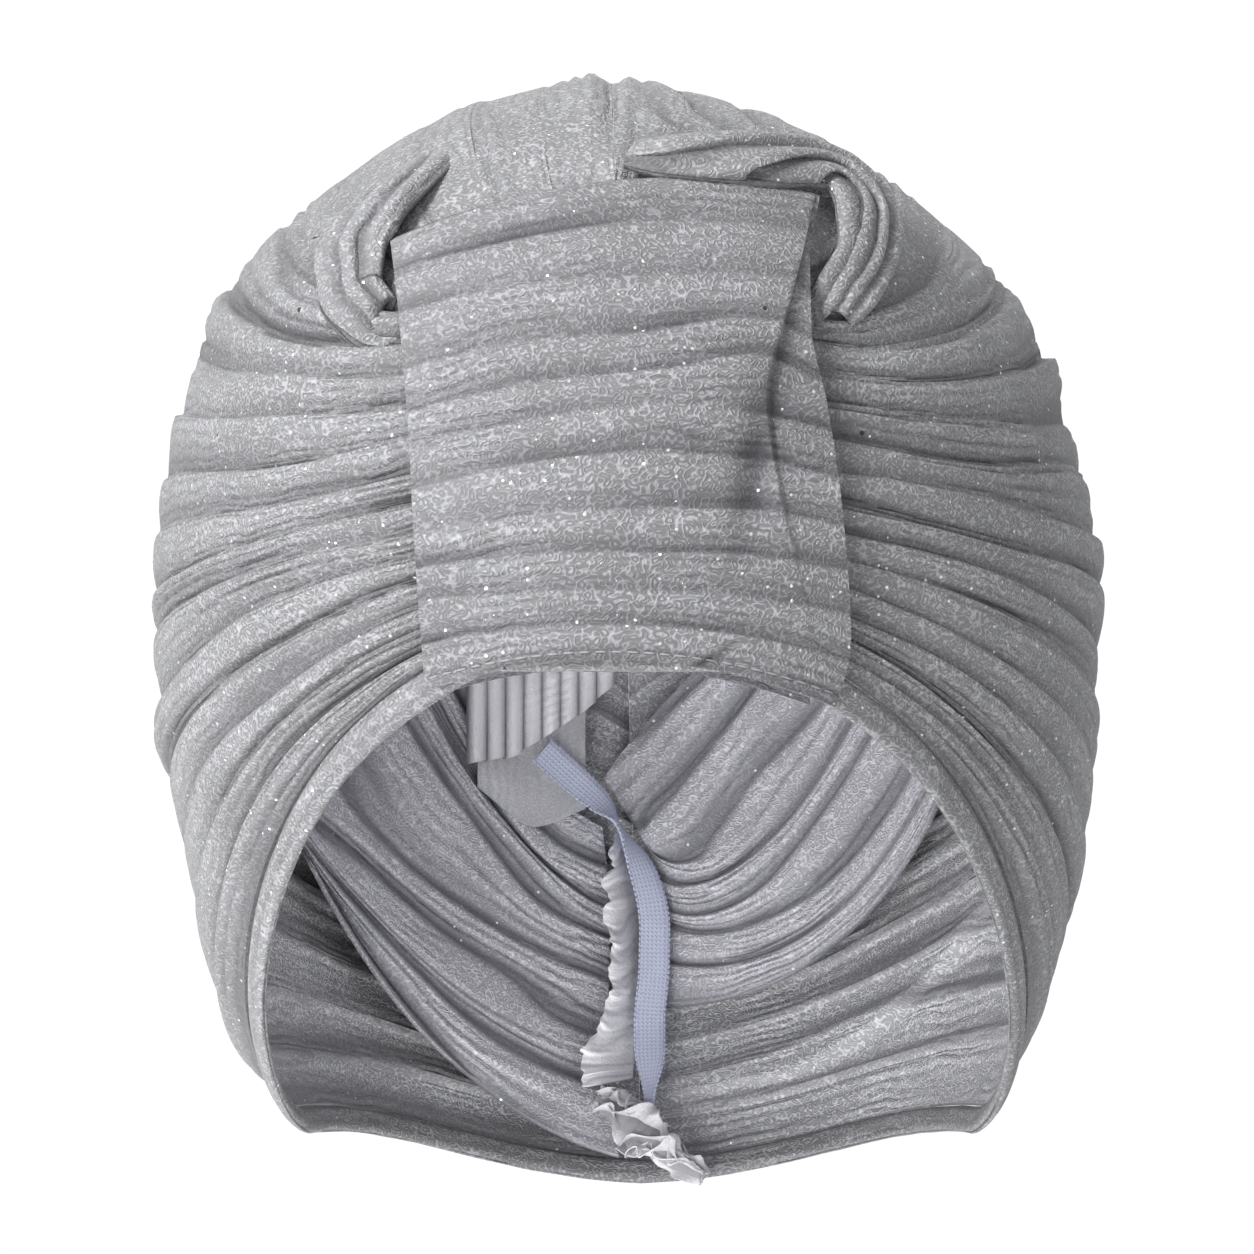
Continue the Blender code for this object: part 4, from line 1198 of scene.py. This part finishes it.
# %% The tape's places and its finish
Tape = namedtuple("Tape", "x z lift turn")
TAPE = (
    Tape(-20.0, -29.3, -14.0, 0),
    Tape(-12.4, -36.2, -13.8, 5),
    Tape(-6.3, -41.9, -12.5, 30),
    Tape(-1.9, -47.5, -11.5, 78),
    Tape(3.4, -57.3, -10.5, 30),
    Tape(6.3, -67.8, -10.2, 8),
    Tape(6.4, -79.2, -10.2, 0),
    Tape(5.3, -93.0, -10.2, 0),
    Tape(5.4, -103.0, -11.5, -10),
    Tape(5.2, -111.0, -12.0, -50),
)
TAPE_WIDTH = 6.8 * MM
TAPE_THICKNESS = 1.0 * MM
TAPE_NARROWS = 0.6
TAPE_NARROWS_FROM = 0.83
TAPE_NARROWS_OVER = 0.15
TAPE_STATIONS = 170
TAPE_ROWS = 1.05 * MM
TAPE_WALES = 0.62 * MM
TAPE_RELIEF = 0.18 * MM
TAPE_HOLLOW_SHADE = (0.62, 0.66, 0.95)
TAPE_YARN = (0.84, 0.88, 1.0)


def tape_finish():
    material, shader, start = new_finish("woven_elastic")
    place = start.node("ShaderNodeUVMap", {"uv_map": CLOTH_MAP})
    across = start.node("ShaderNodeSeparateXYZ", None, {"Vector": place})
    along = start.node("ShaderNodeSeparateXYZ", None, {"Vector": place}, output=1)
    wale = (across * (1 / TAPE_WALES)).zigzag()
    slant = (along * (1 / TAPE_ROWS) + wale * 0.5).zigzag()
    weave = 0.5 * wale + 0.5 * slant
    # Painted shade: the hollows of the weave take the darker colour.
    base = weave.mixed(colour(*TAPE_HOLLOW_SHADE), colour(*TAPE_YARN))
    bump = {"Height": weave, "Distance": TAPE_RELIEF, "Strength": 1.0}
    base.into(shader, "Base Color")
    start.node("ShaderNodeBump", None, bump).into(shader, "Normal")
    shader.inputs["Roughness"].default_value = 0.5
    return material


elastic = tape_finish()
print("The weave has a wale every", TAPE_WALES / MM, "mm")

# %% The tape's shape


def tape_line():
    """The tape's centres, and its directions across and through."""
    x, z, lift, turn = (read_path(TAPE, name, TAPE_STATIONS) for name in Tape._fields)
    centres = seen_point(x, z, BACK_REACH, lift * MM)
    normal = outward(centres)
    tangent = unit(np.gradient(centres, axis=0))
    across = unit(np.cross(tangent, normal))
    turn = np.radians(turn)[:, None]
    wide = across * np.cos(turn) + normal * np.sin(turn)
    return centres, wide, unit(np.cross(tangent, wide))


tape_centres, tape_wide, tape_thick = tape_line()
TAPE_PROFILE = ((-1, -0.4), (-0.93, -1), (-0.45, -0.9), (0, -0.9), (0.45, -0.9), (0.93, -1))
TAPE_PROFILE += tuple((-i, -j) for i, j in TAPE_PROFILE)
tape_far = np.linspace(0, 1, TAPE_STATIONS)[:, None]
tape_narrower = smooth_step((tape_far - TAPE_NARROWS_FROM) / TAPE_NARROWS_OVER)
tape_half = TAPE_WIDTH / 2 * (1 - TAPE_NARROWS * tape_narrower)
rings = np.stack(
    [
        tape_centres + tape_wide * tape_half * i + tape_thick * (j * TAPE_THICKNESS / 2)
        for i, j in TAPE_PROFILE
    ],
    axis=1,
)
mesh = tube_mesh("tape", rings, np.ones(rings.shape[:2]))
tape = add_piece("elastic", mesh, elastic, "elastic", "elastic_tape")
tape_length = float(np.linalg.norm(np.diff(tape_centres, axis=0), axis=1).sum())
print("The tape is", round(tape_length / MM), "mm long")

# %% [markdown]
# ## What repeats: glitter, stitches and picots
# Glitter flecks are scattered over the cloth, stitches run along the band's lower edge, and small
# loops stand along the edges of the elastic. Geometry Nodes place a few hundred copies of one small
# shape as easily as one. A tree is built in the script, takes its sizes as named inputs, and ends in
# Realize Instances, so that the result is a plain mesh.

# %% Growing small shapes from a mesh
GEOMETRY = "NodeSocketGeometry"
FLOAT = "NodeSocketFloat"


def open_tree(name, sizes):
    """A Geometry Nodes tree with a geometry input and a named input for each size."""
    tree = bpy.data.node_groups.new(name, "GeometryNodeTree")
    tree.interface.new_socket("Geometry", in_out="INPUT", socket_type=GEOMETRY)
    for size in sizes:
        tree.interface.new_socket(size, in_out="INPUT", socket_type=FLOAT)
    tree.interface.new_socket("Geometry", in_out="OUTPUT", socket_type=GEOMETRY)
    given = tree.nodes.new("NodeGroupInput")
    return Socket(tree), {output.name: Socket(tree, output) for output in given.outputs if output.name}


def close_tree(start, instances, material):
    """Ends a tree: the instances become a real mesh with the material on it."""
    real = start.node("GeometryNodeRealizeInstances", None, {"Geometry": instances})
    real = start.node("GeometryNodeSetMaterial", None, {"Geometry": real, "Material": material})
    done = start.tree.nodes.new("NodeGroupOutput")
    start.tree.links.new(real.output, done.inputs["Geometry"])
    return start.tree


def grown(bed, tree, sizes):
    """The plain mesh that a tree grows from a bed, which is removed again."""
    holder = bpy.data.objects.new("bed", bed)
    bpy.context.scene.collection.objects.link(holder)
    modifier = holder.modifiers.new("grow", "NODES")
    modifier.node_group = tree
    for item in tree.interface.items_tree:
        if item.name in sizes:
            modifier[item.identifier] = sizes[item.name]
    made = holder.evaluated_get(bpy.context.evaluated_depsgraph_get())
    mesh = bpy.data.meshes.new_from_object(made)
    bpy.data.objects.remove(holder)
    return mesh


print("Trees take a", GEOMETRY, "and named sizes")

# %% The glitter flecks
FLECK = {"Radius": 0.23 * MM, "Thickness": 0.10 * MM, "Density": 7000.0}
MOTTLE_SCALE = 900.0
MOTTLE_DARKER = 0.72


def fleck_tree(material):
    start, given = open_tree("flecks", FLECK)
    points = start.node(
        "GeometryNodeDistributePointsOnFaces",
        None,
        {"Mesh": given["Geometry"], "Density": given["Density"], "Seed": 7},
    )
    turn = Socket(start.tree, points.output.node.outputs["Rotation"])
    disc = start.node(
        "GeometryNodeMeshCylinder",
        None,
        {"Vertices": 6, "Radius": given["Radius"], "Depth": given["Thickness"]},
    )
    size = start.node("FunctionNodeRandomValue", None, {2: 0.55, 3: 1.25, "Seed": 8}, output=1)
    values = {"Points": points, "Instance": disc, "Rotation": turn, "Scale": size}
    placed = start.node("GeometryNodeInstanceOnPoints", None, values)
    lean = start.node(
        "FunctionNodeRandomValue",
        {"data_type": "FLOAT_VECTOR"},
        {0: (-0.5, -0.5, 0.0), 1: (0.5, 0.5, 3.0), "Seed": 9},
    )
    tilted = start.node("GeometryNodeRotateInstances", None, {"Instances": placed, "Rotation": lean})
    return close_tree(start, tilted, material)


def plain_finish(name, shade, roughness, metallic):
    material, shader, start = new_finish(name)
    place = start.node("ShaderNodeTexCoord", output=3)
    change = noise(start, place, MOTTLE_SCALE, 1.0)
    darker = [MOTTLE_DARKER * part for part in shade]
    change.mixed(colour(*darker), colour(*shade)).into(shader, "Base Color")
    shader.inputs["Roughness"].default_value = roughness
    shader.inputs["Metallic"].default_value = metallic
    return material


def face_only(name, face):
    """A bare grid of one face of the cloth, to scatter flecks on."""
    quads = grid_quads(*face.shape[:2])[1]
    bed = bpy.data.meshes.new(name)
    bed.from_pydata(as_worn(face).reshape(-1, 3), [], quads.tolist())
    return bed


silver = plain_finish("silver_fleck", (0.95, 0.96, 0.98), 0.25, 0.7)
flecks = fleck_tree(silver)
for name, face in (
    ("flecks_left", crown_faces["left"][HIDDEN_STATIONS:]),
    ("flecks_right", crown_faces["right"][HIDDEN_STATIONS:]),
    ("flecks_band", band_face),
):
    mesh = grown(face_only(name, face), flecks, FLECK)
    add_piece(name, mesh, silver, "crinkle_knit")

# %% The stitches
STITCH = {"Length": 2.3 * MM, "Radius": 0.22 * MM, "Spacing": 3.1 * MM}


def stitch_tree(material):
    start, given = open_tree("stitches", STITCH)
    line = start.node("GeometryNodeMeshToCurve", None, {"Mesh": given["Geometry"]})
    values = {"Curve": line, "Length": given["Spacing"]}
    even = start.node("GeometryNodeResampleCurve", {"mode": "LENGTH"}, values)
    thread = start.node(
        "GeometryNodeMeshUVSphere", None, {"Segments": 8, "Rings": 6, "Radius": given["Radius"]}
    )
    tangent = start.node("GeometryNodeInputTangent")
    turn = start.node("FunctionNodeAlignRotationToVector", {"axis": "Z"}, {"Vector": tangent})
    long = given["Length"] * (0.5 / STITCH["Radius"])
    scale = start.node("ShaderNodeCombineXYZ", None, {"X": 1.0, "Y": 1.0, "Z": long})
    values = {"Points": even, "Instance": thread, "Rotation": turn, "Scale": scale}
    placed = start.node("GeometryNodeInstanceOnPoints", None, values)
    return close_tree(start, placed, material)


def line_mesh(name, points):
    mesh = bpy.data.meshes.new(name)
    mesh.from_pydata(points.tolist(), [(i, i + 1) for i in range(len(points) - 1)], [])
    return mesh


stitch_row = round(HEM_GROOVE_SHARE * (BAND_ROWS - 1))
line = as_worn(band_face + outward(band_face) * 0.12 * MM)[stitch_row, 3:-30]
thread = plain_finish("grey_thread", (0.42, 0.42, 0.44), 0.6, 0.0)
mesh = grown(line_mesh("stitch_line", line), stitch_tree(thread), STITCH)
add_piece("band_stitches", mesh, thread, "crinkle_knit")

# %% The picots of the elastic
PICOT = {"Length": 0.9 * MM, "Radius": 0.30 * MM, "Spacing": 1.35 * MM}
for side in (-1, 1):
    edge = as_worn(tape_centres + tape_wide * side * (tape_half + 0.05 * MM))
    mesh = grown(line_mesh("tape_edge", edge), stitch_tree(elastic), PICOT)
    add_piece("picots_" + ("left" if side < 0 else "right"), mesh, elastic, "elastic")

# %% [markdown]
# ## Light, floor and camera
# The hat is lit softly from the upper left, with weaker light from the right, from low in front
# and from behind. A small light under the opening does what a white card does for a photographer: it opens
# the inside. The floor is a plain pale square, well below the hat, which is held up as on a head.
# It ends before the camera's view reaches it. The camera looks level at the middle of the dome
# from a little over a metre.

# %% The camera
CAMERA_DISTANCE = 1.1
PHOTO_SIDE = 1254
PHOTO_PIXEL = 0.217 * MM

camera = bpy.data.objects.new("camera", bpy.data.cameras.new("camera"))
bpy.context.scene.collection.objects.link(camera)
camera.location = Vector(DOME_CENTRE) - Vector((0, CAMERA_DISTANCE, 0))
camera.rotation_euler = (math.radians(90), 0, 0)
field = PHOTO_SIDE * PHOTO_PIXEL
camera.data.lens = camera.data.sensor_width * CAMERA_DISTANCE / field
bpy.context.scene.camera = camera
print("The lens is", round(camera.data.lens, 1), "mm")

# %% Lights and floor
FLOOR_HEIGHT = -0.26
FLOOR_REACH = 1.0
WORLD_LIGHT = 0.46
WORLD_SEEN_MORE = 0.6
Light = namedtuple("Light", "name place size watts")
LIGHTS = (
    Light("key", (-1.1, -0.9, 1.15), 0.7, 34.0),
    Light("fill", (1.2, -1.2, 0.25), 1.2, 1.0),
    Light("low", (-0.4, -1.0, -0.3), 0.4, 6.0),
    Light("below", (-0.09, -0.1, -0.235), 0.2, 0.34),
    Light("back", (0.3, 1.4, 0.9), 1.2, 5.0),
)
for light in LIGHTS:
    lamp = bpy.data.objects.new(light.name, bpy.data.lights.new(light.name, "AREA"))
    lamp.data.size = light.size
    lamp.data.energy = light.watts
    lamp.location = light.place
    aim = Vector(DOME_CENTRE) - lamp.location
    lamp.rotation_euler = aim.to_track_quat("-Z", "Y").to_euler()
    bpy.context.scene.collection.objects.link(lamp)

world = bpy.data.worlds.new("studio")
world.use_nodes = True
start = Socket(world.node_tree)
seen = start.node("ShaderNodeLightPath")
strength = WORLD_LIGHT + WORLD_SEEN_MORE * seen
background = world.node_tree.nodes["Background"]
strength.into(background, "Strength")
background.inputs["Color"].default_value = colour(0.98, 0.985, 1.0)
bpy.context.scene.world = world
bpy.context.scene.view_settings.view_transform = "Standard"

floor_mesh = bpy.data.meshes.new("floor")
ends = ((-1, -1), (1, -1), (1, 1), (-1, 1))
corners = [(i * FLOOR_REACH, j * FLOOR_REACH, FLOOR_HEIGHT) for i, j in ends]
floor_mesh.from_pydata(corners, [], [(0, 1, 2, 3)])
floor_mesh.materials.append(plain_finish("pale_floor", (0.95, 0.95, 0.95), 0.9, 0.0))
floor = bpy.data.objects.new("floor", floor_mesh)
bpy.context.scene.collection.objects.link(floor)
print("There are", len(LIGHTS), "lights, and the floor is at", FLOOR_HEIGHT, "m")
